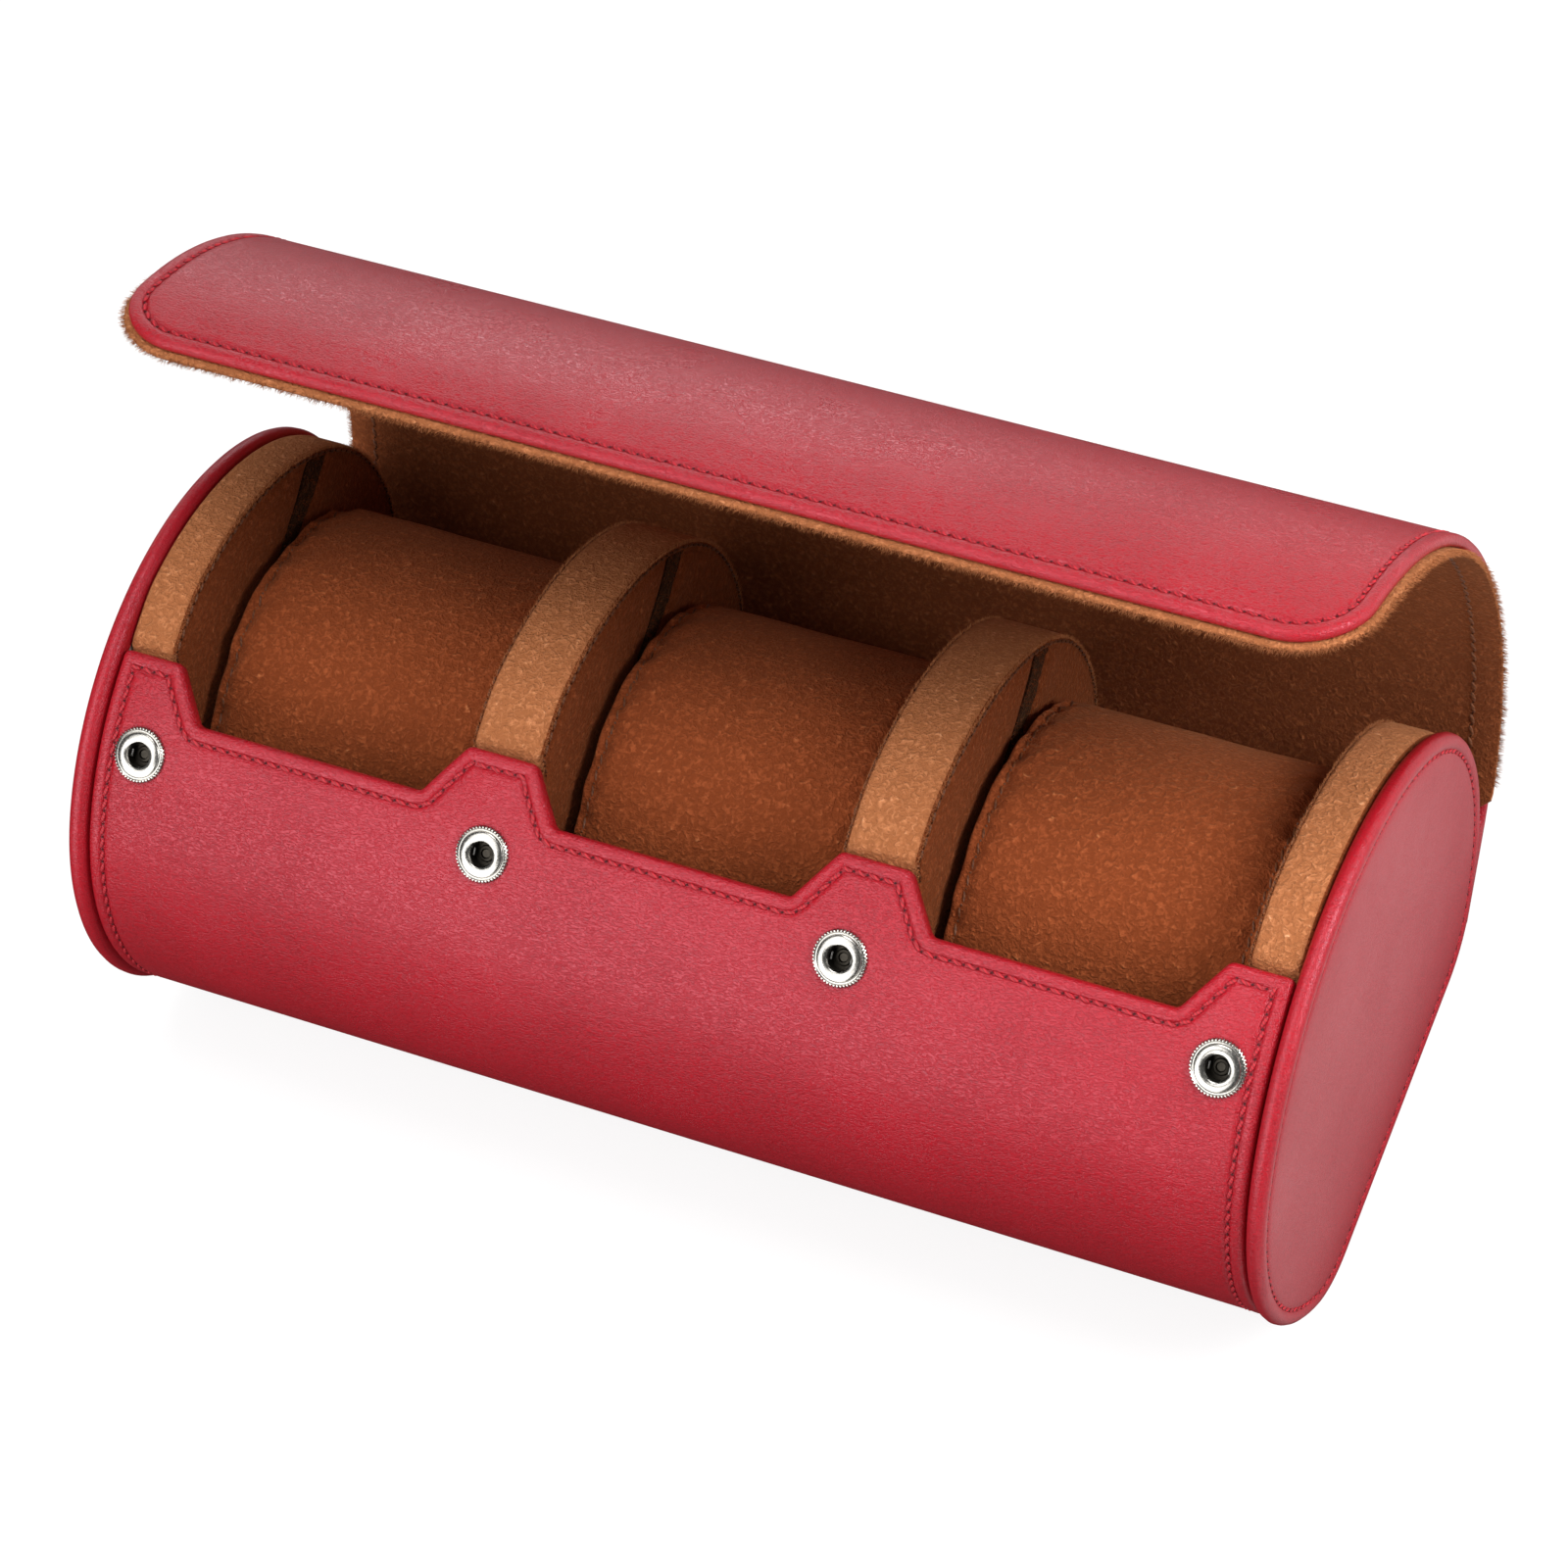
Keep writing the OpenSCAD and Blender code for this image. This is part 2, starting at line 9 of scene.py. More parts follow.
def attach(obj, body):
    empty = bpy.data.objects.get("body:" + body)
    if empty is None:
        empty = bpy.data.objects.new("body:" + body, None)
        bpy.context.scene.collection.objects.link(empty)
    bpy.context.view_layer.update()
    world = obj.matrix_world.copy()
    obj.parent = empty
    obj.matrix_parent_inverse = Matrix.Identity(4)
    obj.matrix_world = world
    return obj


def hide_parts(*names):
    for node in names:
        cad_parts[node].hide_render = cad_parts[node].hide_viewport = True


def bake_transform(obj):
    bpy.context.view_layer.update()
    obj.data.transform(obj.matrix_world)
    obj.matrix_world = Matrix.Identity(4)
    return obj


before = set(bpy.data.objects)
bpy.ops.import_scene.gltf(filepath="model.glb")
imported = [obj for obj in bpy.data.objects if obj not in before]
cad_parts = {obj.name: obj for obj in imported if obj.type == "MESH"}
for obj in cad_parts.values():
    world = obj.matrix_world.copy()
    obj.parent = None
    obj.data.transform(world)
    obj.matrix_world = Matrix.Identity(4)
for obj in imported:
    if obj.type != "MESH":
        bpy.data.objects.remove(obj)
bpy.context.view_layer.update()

# A travel case for watches: red leather outside, tan suede inside. Shapes are drawn in
# millimetres, and a finished piece is turned into metres.
random.seed(7)
print("case: CAD frame loaded")

caseSizes = {
    # The caps' outline, in (Y, Z): a flat foot, two corners, two sides and a top
    "sideCentre": (8.2, 36.72), "sideRadius": 44.0,
    "topZ": 28.8, "topRadius": 55.4, "cornerRadius": 18.0,
    "wallIn": 1.0,                              # the wall's face below the caps' rim
    "tabAngle": 103.6, "backAngle": -34.0,      # front and back edges of the wall
    "snapAngle": 121.8, "snapPlaces": (-99.9, -33.2, 33.2, 99.9),
}


def turn(angle):
    return math.cos(math.radians(angle)), math.sin(math.radians(angle))


def choose(*pieces):
    if bpy.context.object and bpy.context.object.mode != "OBJECT":
        bpy.ops.object.mode_set(mode="OBJECT")
    bpy.ops.object.select_all(action="DESELECT")
    for piece in pieces:
        piece.select_set(True)
    if pieces:
        bpy.context.view_layer.objects.active = pieces[0]


def meshPiece(name, verts, faces):
    mesh = bpy.data.meshes.new(name)
    mesh.from_pydata(verts, [], faces)
    piece = bpy.data.objects.new(name, mesh)
    bpy.context.scene.collection.objects.link(piece)
    return piece


def newPiece(name, add, **settings):
    choose()
    add(**settings)
    piece = bpy.context.object
    piece.name = piece.data.name = name
    return piece


def edit(piece):
    choose(piece)
    bpy.ops.object.mode_set(mode="EDIT")
    bpy.ops.mesh.select_mode(type="FACE")
    bpy.ops.mesh.select_all(action="SELECT")


def finishEdit():
    bpy.ops.object.mode_set(mode="OBJECT")


def addModifier(piece, kind, **settings):
    choose(piece)
    modifier = piece.modifiers.new(kind.title(), kind)
    for key, value in settings.items():
        setattr(modifier, key, value)
    bpy.ops.object.modifier_apply(modifier=modifier.name)


def moveEach(piece, change):
    for vertex in piece.data.vertices:
        vertex.co = change(vertex.co)
    piece.data.update()


def copyPiece(piece, name, change=None):
    choose(piece)
    bpy.ops.object.duplicate()
    twin = bpy.context.object
    twin.name = twin.data.name = name
    if change:
        moveEach(twin, change)
    return twin


def turnFacesOver(piece):
    edit(piece)
    bpy.ops.mesh.flip_normals()
    finishEdit()


def faceOutwards(piece):
    edit(piece)
    bpy.ops.mesh.normals_make_consistent(inside=False)
    finishEdit()


def mirrorX(piece, name):
    twin = copyPiece(piece, name, lambda co: Vector((-co.x, co.y, co.z)))
    turnFacesOver(twin)
    return twin


def finishPiece(piece, *materials, angle=40):
    # Metres, smooth shading and materials; the object itself stays at the origin
    moveEach(piece, lambda co: co * 0.001)
    choose(piece)
    bpy.ops.object.shade_smooth_by_angle(angle=math.radians(angle), keep_sharp_edges=False)
    marks = [polygon.material_index for polygon in piece.data.polygons]
    piece.data.materials.clear()
    for material in materials:
        piece.data.materials.append(material)
    for polygon, mark in zip(piece.data.polygons, marks):
        polygon.material_index = min(mark, len(materials) - 1)
    return piece


def hexColour(text):
    channels = [int(text[i:i + 2], 16) / 255 for i in (0, 2, 4)]
    return tuple(c / 12.92 if c <= 0.04045 else ((c + 0.055) / 1.055) ** 2.4
                 for c in channels) + (1.0,)


def newMaterial(name):
    material = bpy.data.materials.new(name)
    material.use_nodes = True
    tree = material.node_tree
    return material, tree, tree.nodes["Principled BSDF"]


def addNode(tree, kind, inputs=None, **settings):
    node = tree.nodes.new("ShaderNode" + kind)
    for name, value in settings.items():
        setattr(node, name, value)
    for name, value in (inputs or {}).items():
        if isinstance(value, bpy.types.NodeSocket):
            tree.links.new(value, node.inputs[name])
        else:
            node.inputs[name].default_value = value
    return node


def feed(tree, shader, inputs):
    for name, node in inputs.items():
        tree.links.new(node.outputs[0], shader.inputs[name])


# Split cowhide with a coloured coat, embossed with a fine wavy grain: a soft broad shine,
# low ridges parted by creases painted a deeper red as shade, long soft wrinkles, and slightly
# paler patches.
leatherLook = {
    "red": "A91220", "creaseShadeRed": "900A17", "paleRed": "B11927",
    "grain": 0.32,       # mm between the fine wavy ridges
    "stretch": 0.45,     # the ridges and wrinkles run longer along the case
    "patch": 38.0,       # patches in a metre
    "wrinkle": 2.2,      # mm between the long soft wrinkles
    "folds": 1.6,        # height of the wrinkles against the grain's
    "roughness": 0.3,
}


def leatherMaterial(name, look, grainDepth):
    material, tree, shader = newMaterial(name)
    place = addNode(tree, "TexCoord").outputs["Object"]
    along = addNode(tree, "Mapping", {"Vector": place,
                                      "Scale": (look["stretch"], 1.0, 1.0)}).outputs[0]
    ridges = addNode(tree, "TexNoise", {"Vector": along, "Scale": 1000.0 / look["grain"],
                                        "Detail": 2.0, "Roughness": 0.55, "Distortion": 0.8})
    tops = addNode(tree, "MapRange", {"Value": ridges.outputs["Fac"], "From Min": 0.3,
                                      "From Max": 0.62}, interpolation_type="SMOOTHSTEP")
    wrinkles = addNode(tree, "TexNoise", {"Vector": along, "Scale": 1000.0 / look["wrinkle"],
                                          "Detail": 3.0, "Roughness": 0.6, "Distortion": 0.4})
    patches = addNode(tree, "TexNoise", {"Vector": place, "Scale": look["patch"],
                                         "Detail": 2.0})
    height = addNode(tree, "Math", {0: wrinkles.outputs["Fac"], 1: look["folds"],
                                    2: tops.outputs[0]}, operation="MULTIPLY_ADD")
    bump = addNode(tree, "Bump", {"Height": height.outputs[0], "Strength": 0.9,
                                  "Distance": grainDepth})
    # Painted shade: the low creases of the grain are coloured a deeper red
    creaseShadeColour = addNode(tree, "MixRGB", {"Fac": tops.outputs[0],
                                       "Color1": hexColour(look["creaseShadeRed"]),
                                       "Color2": hexColour(look["red"])})
    patchShare = addNode(tree, "MapRange", {"Value": patches.outputs["Fac"], "From Min": 0.35,
                                            "From Max": 0.7, "To Max": 0.55})
    colour = addNode(tree, "MixRGB", {"Fac": patchShare.outputs[0], "Color1": creaseShadeColour.outputs[0],
                                      "Color2": hexColour(look["paleRed"])})
    rough = addNode(tree, "MapRange", {"Value": patches.outputs["Fac"], "From Min": 0.3,
                                       "From Max": 0.7, "To Min": look["roughness"] + 0.05,
                                       "To Max": look["roughness"] - 0.05})
    feed(tree, shader, {"Base Color": colour, "Roughness": rough, "Normal": bump})
    shader.inputs["IOR"].default_value = 1.5
    shader.inputs["Specular Tint"].default_value = (1.0, 0.86, 1.0, 1.0)
    return material


# Microfibre suede: matt, with a short brushed nap that lies in clumps, paler where it
# catches the light (a painted highlight) and much darker in the low gaps between clumps (painted
# shade).
suedeLook = {
    "tan": "C98357", "pale": "F4C296", "dark": "A0623C",
    "clump": 0.9,        # mm between the curled clumps of nap
    "brush": 14.0,       # mm between brushed patches
}


def suedeMaterial(name, look, napDepth):
    material, tree, shader = newMaterial(name)
    place = addNode(tree, "TexCoord").outputs["Object"]
    clumps = addNode(tree, "TexNoise", {"Vector": place, "Scale": 1000.0 / look["clump"],
                                        "Detail": 2.5, "Roughness": 0.6, "Distortion": 0.9})
    fibres = addNode(tree, "TexNoise", {"Vector": place, "Scale": 800.0 / look["clump"],
                                        "Detail": 3.0, "Roughness": 0.55, "Distortion": 0.7},
                     noise_type="RIDGED_MULTIFRACTAL")
    brushed = addNode(tree, "TexNoise", {"Vector": place, "Scale": 1000.0 / look["brush"],
                                         "Detail": 3.0, "Distortion": 0.6})
    height = addNode(tree, "Math", {0: fibres.outputs["Fac"], 1: 0.5, 2: clumps.outputs["Fac"]},
                     operation="MULTIPLY_ADD")
    bump = addNode(tree, "Bump", {"Height": height.outputs[0], "Strength": 1.0,
                                  "Distance": napDepth})
    # Painted shade: the low parts of the nap's height take the dark colour
    gapShade = addNode(tree, "MapRange", {"Value": height.outputs[0], "From Min": 0.5,
                                      "From Max": 0.82})
    nap = addNode(tree, "MixRGB", {"Fac": gapShade.outputs[0], "Color1": hexColour(look["dark"]),
                                   "Color2": hexColour(look["tan"])})
    # The ends of the fibres catch the light, more so on a patch that is brushed up
    tips = addNode(tree, "MapRange", {"Value": height.outputs[0], "From Min": 0.78,
                                      "From Max": 1.02, "To Max": 0.9})
    lifted = addNode(tree, "MapRange", {"Value": brushed.outputs["Fac"], "From Min": 0.35,
                                        "From Max": 0.65, "To Min": 0.55})
    tipShare = addNode(tree, "Math", {0: tips.outputs[0], 1: lifted.outputs[0]},
                       operation="MULTIPLY")
    colour = addNode(tree, "MixRGB", {"Fac": tipShare.outputs[0], "Color1": nap.outputs[0],
                                      "Color2": hexColour(look["pale"])})
    feed(tree, shader, {"Base Color": colour, "Normal": bump})
    shader.inputs["Roughness"].default_value = 0.95
    shader.inputs["Specular IOR Level"].default_value = 0.1
    shader.inputs["Sheen Weight"].default_value = 0.2
    shader.inputs["Sheen Roughness"].default_value = 0.45
    shader.inputs["Sheen Tint"].default_value = hexColour("DDA878")
    return material


# Bright nickel plate on stamped brass, with a few fine polishing scratches.
def nickelMaterial(name, colourText, roughness):
    material, tree, shader = newMaterial(name)
    place = addNode(tree, "TexCoord").outputs["Object"]
    scratches = addNode(tree, "TexNoise", {"Vector": place, "Scale": 2500.0, "Detail": 3.0})
    rough = addNode(tree, "MapRange", {"Value": scratches.outputs["Fac"], "From Min": 0.3,
                                       "From Max": 0.7, "To Min": roughness - 0.05,
                                       "To Max": roughness + 0.09})
    bump = addNode(tree, "Bump", {"Height": scratches.outputs["Fac"], "Strength": 0.12,
                                  "Distance": 0.00003})
    shader.inputs["Base Color"].default_value = hexColour(colourText)
    shader.inputs["Metallic"].default_value = 1.0
    feed(tree, shader, {"Roughness": rough, "Normal": bump})
    return material


# Twisted polyester sewing thread: fine slanting twist, a soft low shine.
def threadMaterial(name, colourText, shadeText):
    material, tree, shader = newMaterial(name)
    place = addNode(tree, "TexCoord").outputs["Object"]
    twist = addNode(tree, "TexWave", {"Vector": place, "Scale": 700.0, "Distortion": 1.5,
                                      "Detail": 1.0}, bands_direction="DIAGONAL")
    colour = addNode(tree, "MixRGB", {"Fac": twist.outputs["Fac"], "Color1": hexColour(shadeText),
                                      "Color2": hexColour(colourText)})
    bump = addNode(tree, "Bump", {"Height": twist.outputs["Fac"], "Strength": 0.4,
                                  "Distance": 0.00005})
    feed(tree, shader, {"Base Color": colour, "Normal": bump})
    shader.inputs["Roughness"].default_value = 0.6
    return material


# Pressed grey board, dull and fibrous; in dark red the same material paints the shade in the
# needle holes.
def fibreMaterial(name, colourText, shadeText, fibre):
    material, tree, shader = newMaterial(name)
    place = addNode(tree, "TexCoord").outputs["Object"]
    fibres = addNode(tree, "TexNoise", {"Vector": place, "Scale": 1000.0 / fibre, "Detail": 4.0})
    colour = addNode(tree, "MixRGB", {"Fac": fibres.outputs["Fac"], "Color1": hexColour(shadeText),
                                      "Color2": hexColour(colourText)})
    bump = addNode(tree, "Bump", {"Height": fibres.outputs["Fac"], "Strength": 0.5,
                                  "Distance": 0.0001})
    feed(tree, shader, {"Base Color": colour, "Normal": bump})
    shader.inputs["Roughness"].default_value = 0.92
    return material


redLeather = leatherMaterial("redGrainLeather", leatherLook, 0.00008)
capLeather = leatherMaterial("redCapLeather", {**leatherLook, "wrinkle": 7.0, "folds": 3.0,
                                               "roughness": 0.34}, 0.00005)
tanSuede = suedeMaterial("tanMicrofibreSuede", suedeLook, 0.0008)
# A darker, redder copy of the suede for the padded faces and the bands' sides: painted shade
paintedShadeFaceSuede = suedeMaterial("shadeSideSuede", {**suedeLook, "tan": "984F2C", "pale": "BE7A4C",
                                             "dark": "743719"}, 0.0006)
# A darker copy of the suede for the flap's lining and the wall's lining: painted shade
paintedShadeLiningSuede = suedeMaterial("paintedShadeLining", {**suedeLook, "tan": "92502E", "pale": "B4764C",
                                                 "dark": "723A1E"}, 0.0005)
cushionSuede = suedeMaterial("rustMicrofibreSuede", {**suedeLook, "tan": "A65630",
                                                     "pale": "CC8654", "dark": "803D1E"}, 0.0006)
# The darkest copy, for the slits, the raw edges in them and the brown thread's needle holes:
# painted shade
shadedSuede = suedeMaterial("rawSuedeEdge", {**suedeLook, "tan": "4A2712", "pale": "6A3C1E",
                                             "dark": "261208"}, 0.0006)
nickelPlate = nickelMaterial("nickelPlatedBrass", "B2AFA9", 0.2)
# Painted shade: the dark metal inside the sockets' tubes
tubeShadeBrass = nickelMaterial("paintedShadeBrass", "3E3A34", 0.4)
springSteel = nickelMaterial("drawnSpringSteel", "A8A6A2", 0.3)
redThread = threadMaterial("redPolyesterThread", "BE1A2A", "8A0D1C")
# Painted shade: the dark discs sunk at the needle holes
paintedHoleShade = fibreMaterial("paintedHoleShadeLeather", "540810", "36050B", 0.5)
brownThread = threadMaterial("brownPolyesterThread", "7A4422", "532B12")
greyBoard = fibreMaterial("pressedGreyBoard", "8C877D", "6E6A62", 0.8)
print("case: materials made")


# Legs of a path in (Y, Z), anticlockwise, so that the outside is on the right of the run:
# a line (y, z, y, z), or an arc (y, z, radius, first angle, last angle)
def outlineLegs(depth, flat, first=-316.0, last=44.0):
    sideY, sideZ = caseSizes["sideCentre"]
    sideR, cornerR = caseSizes["sideRadius"], caseSizes["cornerRadius"]
    topZ, topR = caseSizes["topZ"], caseSizes["topRadius"]
    cornerZ = flat + cornerR - depth
    cornerY = sideY + math.sqrt((sideR - cornerR) ** 2 - (sideZ - cornerZ) ** 2)
    low = math.degrees(math.atan2(sideZ - cornerZ, cornerY - sideY))
    high = math.degrees(math.atan2(sideZ - topZ, sideY))
    arcs = [
        (0.0, topZ, topR - depth, high - 360, -180 - high),
        (-sideY, sideZ, sideR - depth, -180 - high, -180 + low),
        (-cornerY, cornerZ, cornerR - depth, -180 + low, -90),
        (-cornerY, flat, cornerY, flat),
        (cornerY, cornerZ, cornerR - depth, -90, -low),
        (sideY, sideZ, sideR - depth, -low, high),
    ]
    legs = []
    for leg in arcs:
        if len(leg) == 4:
            legs.append(leg)
        elif max(leg[3], first) < min(leg[4], last):
            legs.append(leg[:3] + (max(leg[3], first), min(leg[4], last)))
    return legs


def legLength(leg):
    if len(leg) == 4:
        return math.hypot(leg[2] - leg[0], leg[3] - leg[1])
    return leg[2] * math.radians(leg[4] - leg[3])


def onPath(legs, run, out=0.0):
    for leg in legs:
        length = legLength(leg)
        if run <= length:
            break
        run -= length
    else:
        run += length
    if len(leg) == 4:
        y, z = (leg[2] - leg[0]) / length, (leg[3] - leg[1]) / length
        return leg[0] + run * y + out * z, leg[1] + run * z - out * y
    c, s = turn(leg[3] + math.degrees(run / leg[2]))
    return leg[0] + (leg[2] + out) * c, leg[1] + (leg[2] + out) * s


def wrapOn(piece, legs):
    # A flat sheet of (x, run, out) is laid round the section. That mirrors it.
    moveEach(piece, lambda co: Vector((co.x, *onPath(legs, co.y, co.z))))
    turnFacesOver(piece)


# The full outline as points, the same number for every depth
def outlinePoints(depth, flat, steps=(44, 34, 14, 24, 14, 34)):
    points = []
    for leg, count in zip(outlineLegs(depth, flat), steps):
        for step in range(count):
            points.append(onPath([leg], legLength(leg) * step / count))
    return points


# Corners (x, run, radius) of a flat shape, set in: the same number of points each time
def setIn(corners, inset, arcSteps=4):
    count = len(corners)
    lines = []
    for index in range(count):
        a, b = Vector(corners[index][:2]), Vector(corners[(index + 1) % count][:2])
        along = (b - a).normalized()
        lines.append((a + inset * Vector((-along.y, along.x)), along))
    points = []
    for index in range(count):
        (p, u), (q, v) = lines[index - 1], lines[index]
        cross = u.x * v.y - u.y * v.x
        corner = p + ((q.x - p.x) * v.y - (q.y - p.y) * v.x) / cross * u
        bend = math.atan2(cross, u.dot(v))
        side = 1 if bend > 0 else -1
        radius = max(corners[index][2] - side * inset, 0.2)
        start = corner - radius * math.tan(abs(bend) / 2) * u
        centre = start + side * radius * Vector((-u.y, u.x))
        for step in range(arcSteps + 1):
            points.append(centre + Matrix.Rotation(bend * step / arcSteps, 2) @ (start - centre))
    return points


def growSheet(name, rings):
    # A face laid on the first ring, then extruded from ring to ring
    count = len(rings[0])
    piece = newPiece(name, bpy.ops.mesh.primitive_circle_add, vertices=count, radius=1,
                     fill_type="NGON")
    for vertex, point in zip(piece.data.vertices, rings[0]):
        vertex.co = point
    edit(piece)
    for before, ring in zip(rings, rings[1:]):
        bpy.ops.mesh.extrude_region_move()
        mesh = bmesh.from_edit_mesh(piece.data)
        face = [face for face in mesh.faces if face.select][0]
        verts = face.verts[:]
        start = min(range(count), key=lambda k: (verts[k].co - Vector(before[0])).length)
        for step in range(count):
            verts[(start + step) % count].co = ring[step]
        bmesh.update_edit_mesh(piece.data)
    finishEdit()
    return piece


def sliceAcross(piece, first, last, step):
    edit(piece)
    count = max(1, round((last - first) / step))
    for index in range(1, count):
        bpy.ops.mesh.select_all(action="SELECT")
        run = first + (last - first) * index / count + 0.0137
        bpy.ops.mesh.bisect(plane_co=(0, run, 0), plane_no=(0, 1, 0))
    finishEdit()


# Stitches along a flat line of points: one is modelled, and copied at every pitch, with
# the needle's hole (length, width, height) after it
sewing = {"pitch": 2.5, "length": 2.15, "width": 0.72, "height": 0.62, "slant": 17.0,
          "hole": (0.45, 0.42, 0.2)}


def sewLine(name, line, lift, keep=None, closed=False, sizes=sewing):
    one = newPiece(name + "One", bpy.ops.mesh.primitive_uv_sphere_add, segments=8,
                   ring_count=5, radius=0.5, rotation=(0, math.pi / 2, 0))
    bpy.ops.object.transform_apply(rotation=True)
    ball = [v.co.copy() for v in one.data.vertices]
    polygons = [list(p.vertices) for p in one.data.polygons]
    bpy.data.objects.remove(one)
    stitch = [Vector((p.x * sizes["length"], p.y * sizes["width"], p.z * sizes["height"]))
              for p in ball]
    hole = [Vector((p.x * sizes["hole"][0] + sizes["pitch"] / 2, p.y * sizes["hole"][1],
                    p.z * sizes["hole"][2])) for p in ball]
    points = [Vector(p) for p in line] + ([Vector(line[0])] if closed else [])
    total = sum((b - a).length for a, b in zip(points, points[1:]))
    count = max(1, round(total / sizes["pitch"]))
    verts, faces = [], []
    run, index = 0.0, 0
    for step in range(count):
        target = (step + 0.5) * total / count
        while run + (points[index + 1] - points[index]).length < target:
            run += (points[index + 1] - points[index]).length
            index += 1
        along = (points[index + 1] - points[index]).normalized()
        middle = points[index] + (target - run) * along
        if keep and not keep(middle):
            continue
        angle = math.atan2(along.y, along.x) + math.radians(sizes["slant"] + random.uniform(-3, 3))
        spin = Matrix.Rotation(angle, 3, "Z")
        straight = Matrix.Rotation(math.atan2(along.y, along.x), 3, "Z")
        for shape, turned in ((stitch, spin), (hole, straight)):
            base = len(verts)
            for point in shape:
                p = turned @ point
                verts.append((middle.x + p.x, middle.y + p.y, lift + p.z))
            faces += [[base + i for i in polygon] for polygon in polygons]
    piece = meshPiece(name, verts, faces)
    # Every second shape is a needle hole, in a dark material: painted shade
    for polygon in piece.data.polygons:
        polygon.material_index = polygon.index // len(polygons) % 2
    return piece


# Loose fibres along a flat line, each a thin closed sliver that points out of the edge
frayLook = {"lean": 0.9, "shortest": 0.5, "rise": 0.35, "half": 0.06, "root": 0.15, "thick": 0.1}


def sliverFaces(base):
    return [[base, base + 1, base + 3], [base + 1, base + 2, base + 3],
            [base + 2, base, base + 3], [base + 2, base + 1, base]]


def frayLine(name, line, perMm, length, low, high, keep=None):
    verts, faces = [], []
    for a, b in zip(line, line[1:]):
        a, b = Vector(a), Vector(b)
        along = (b - a).normalized()
        outward = Vector((along.y, -along.x))
        for number in range(int((b - a).length * perMm + random.random())):
            root = a.lerp(b, random.random())
            if keep and not keep(root):
                continue
            height = random.uniform(low, high)
            lean = random.uniform(-frayLook["lean"], frayLook["lean"])
            reach = length * random.uniform(frayLook["shortest"], 1.0)
            tip = root + reach * (outward + lean * along).normalized()
            rise = random.uniform(-frayLook["rise"], frayLook["rise"]) * reach
            side = along * frayLook["half"]
            inside = root - frayLook["root"] * outward
            faces += sliverFaces(len(verts))
            verts += [(*(inside - side), height), (*(inside + side), height),
                      (*inside, height + frayLook["thick"]), (*tip, height + rise)]
    piece = meshPiece(name, verts, faces)
    faceOutwards(piece)
    return piece


wallSizes = {
    "halfLength": 108.2, "tabMiddle": 34.6, "tabTop": 12.6, "tabFoot": 25.2,
    "halfTabTop": 97.1, "halfTabFoot": 90.8, "windowRun": 9.78,
    "tabCorner": 1.6, "windowCorner": 1.6, "endCorner": 1.2,
    "stitchIn": 2.85, "slice": 2.0, "drill": 2.7,
    # (distance in from the edge, height over the leather's face) from the pocket for the
    # board, over the turned edge and the stitch groove, to the face
    "edge": ((1.3, -1.2), (1.3, -3.45), (1.05, -3.6), (0.5, -3.55), (0.16, -3.25), (0.0, -2.7),
             (0.0, -1.2), (0.1, -0.7), (0.33, -0.3), (0.75, -0.06), (1.25, 0.02), (1.85, 0.0),
             (2.3, -0.12), (2.56, -0.42), (3.14, -0.42), (3.45, -0.14), (4.1, -0.03)),
}


def makeWall():
    size = wallSizes
    legs = outlineLegs(caseSizes["wallIn"], 0.0, caseSizes["tabAngle"] - 360,
                       caseSizes["backAngle"])
    reach = sum(legLength(leg) for leg in legs)
    end, foot, top = size["halfLength"], size["tabFoot"] / 2, size["tabTop"] / 2
    low, tab = size["windowRun"], size["tabMiddle"]
    right = [(tab - foot, low, size["windowCorner"]), (tab - top, 0, size["tabCorner"]),
             (tab + top, 0, size["tabCorner"]), (tab + foot, low, size["windowCorner"]),
             (size["halfTabFoot"], low, size["windowCorner"]),
             (size["halfTabTop"], 0, size["tabCorner"]), (end, 0, size["endCorner"]),
             (end, reach, size["endCorner"])]
    corners = [(-x, run, r) for x, run, r in reversed(right)] + right
    rings = [[(p.x, p.y, out) for p in setIn(corners, inset)] for inset, out in size["edge"]]
    cover = growSheet("wall_leather", rings)
    sliceAcross(cover, 0, reach, size["slice"])
    wrapOn(cover, legs)
    # Holes for the tubes of the four snaps
    for x in caseSizes["snapPlaces"]:
        drill = newPiece("drill", bpy.ops.mesh.primitive_cylinder_add, vertices=40,
                         radius=size["drill"], depth=12, location=(x, *snapPlace()),
                         rotation=(math.radians(caseSizes["snapAngle"] - 90), 0, 0))
        addModifier(cover, "BOOLEAN", operation="DIFFERENCE", object=drill, solver="EXACT")
        bpy.data.objects.remove(drill)
    finishPiece(cover, redLeather)
    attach(cover, "case")
    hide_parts("wall_cover")
    thread = sewLine("wall_thread", setIn(corners, size["stitchIn"]), -0.22, closed=True)
    wrapOn(thread, legs)
    finishPiece(thread, redThread, paintedHoleShade)
    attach(thread, "case")


def snapPlace():
    c, s = turn(caseSizes["snapAngle"])
    radius = caseSizes["topRadius"] - caseSizes["wallIn"]
    return radius * c, caseSizes["topZ"] + radius * s


makeWall()
print("case: wall sewn")


capSizes = {
    "stitchIn": 2.95, "stitchX": 111.6,
    "foot": 0.3,         # height of the rim over the table
    # (depth below the rim, distance along X) from the pocket, round the rolled rim, over
    # the stitch groove to the slightly full face
    "edge": ((3.5, 110.8), (3.5, 108.5), (2.4, 108.5), (1.1, 108.7), (0.35, 109.2),
             (0.0, 110.0), (0.05, 110.7), (0.35, 111.35), (0.85, 111.78), (1.45, 111.93),
             (2.05, 111.88), (2.45, 111.72), (2.68, 111.5), (3.22, 111.5), (3.5, 111.68),
             (4.4, 111.82), (7.0, 111.9), (11.0, 111.96), (16.0, 112.0)),
}


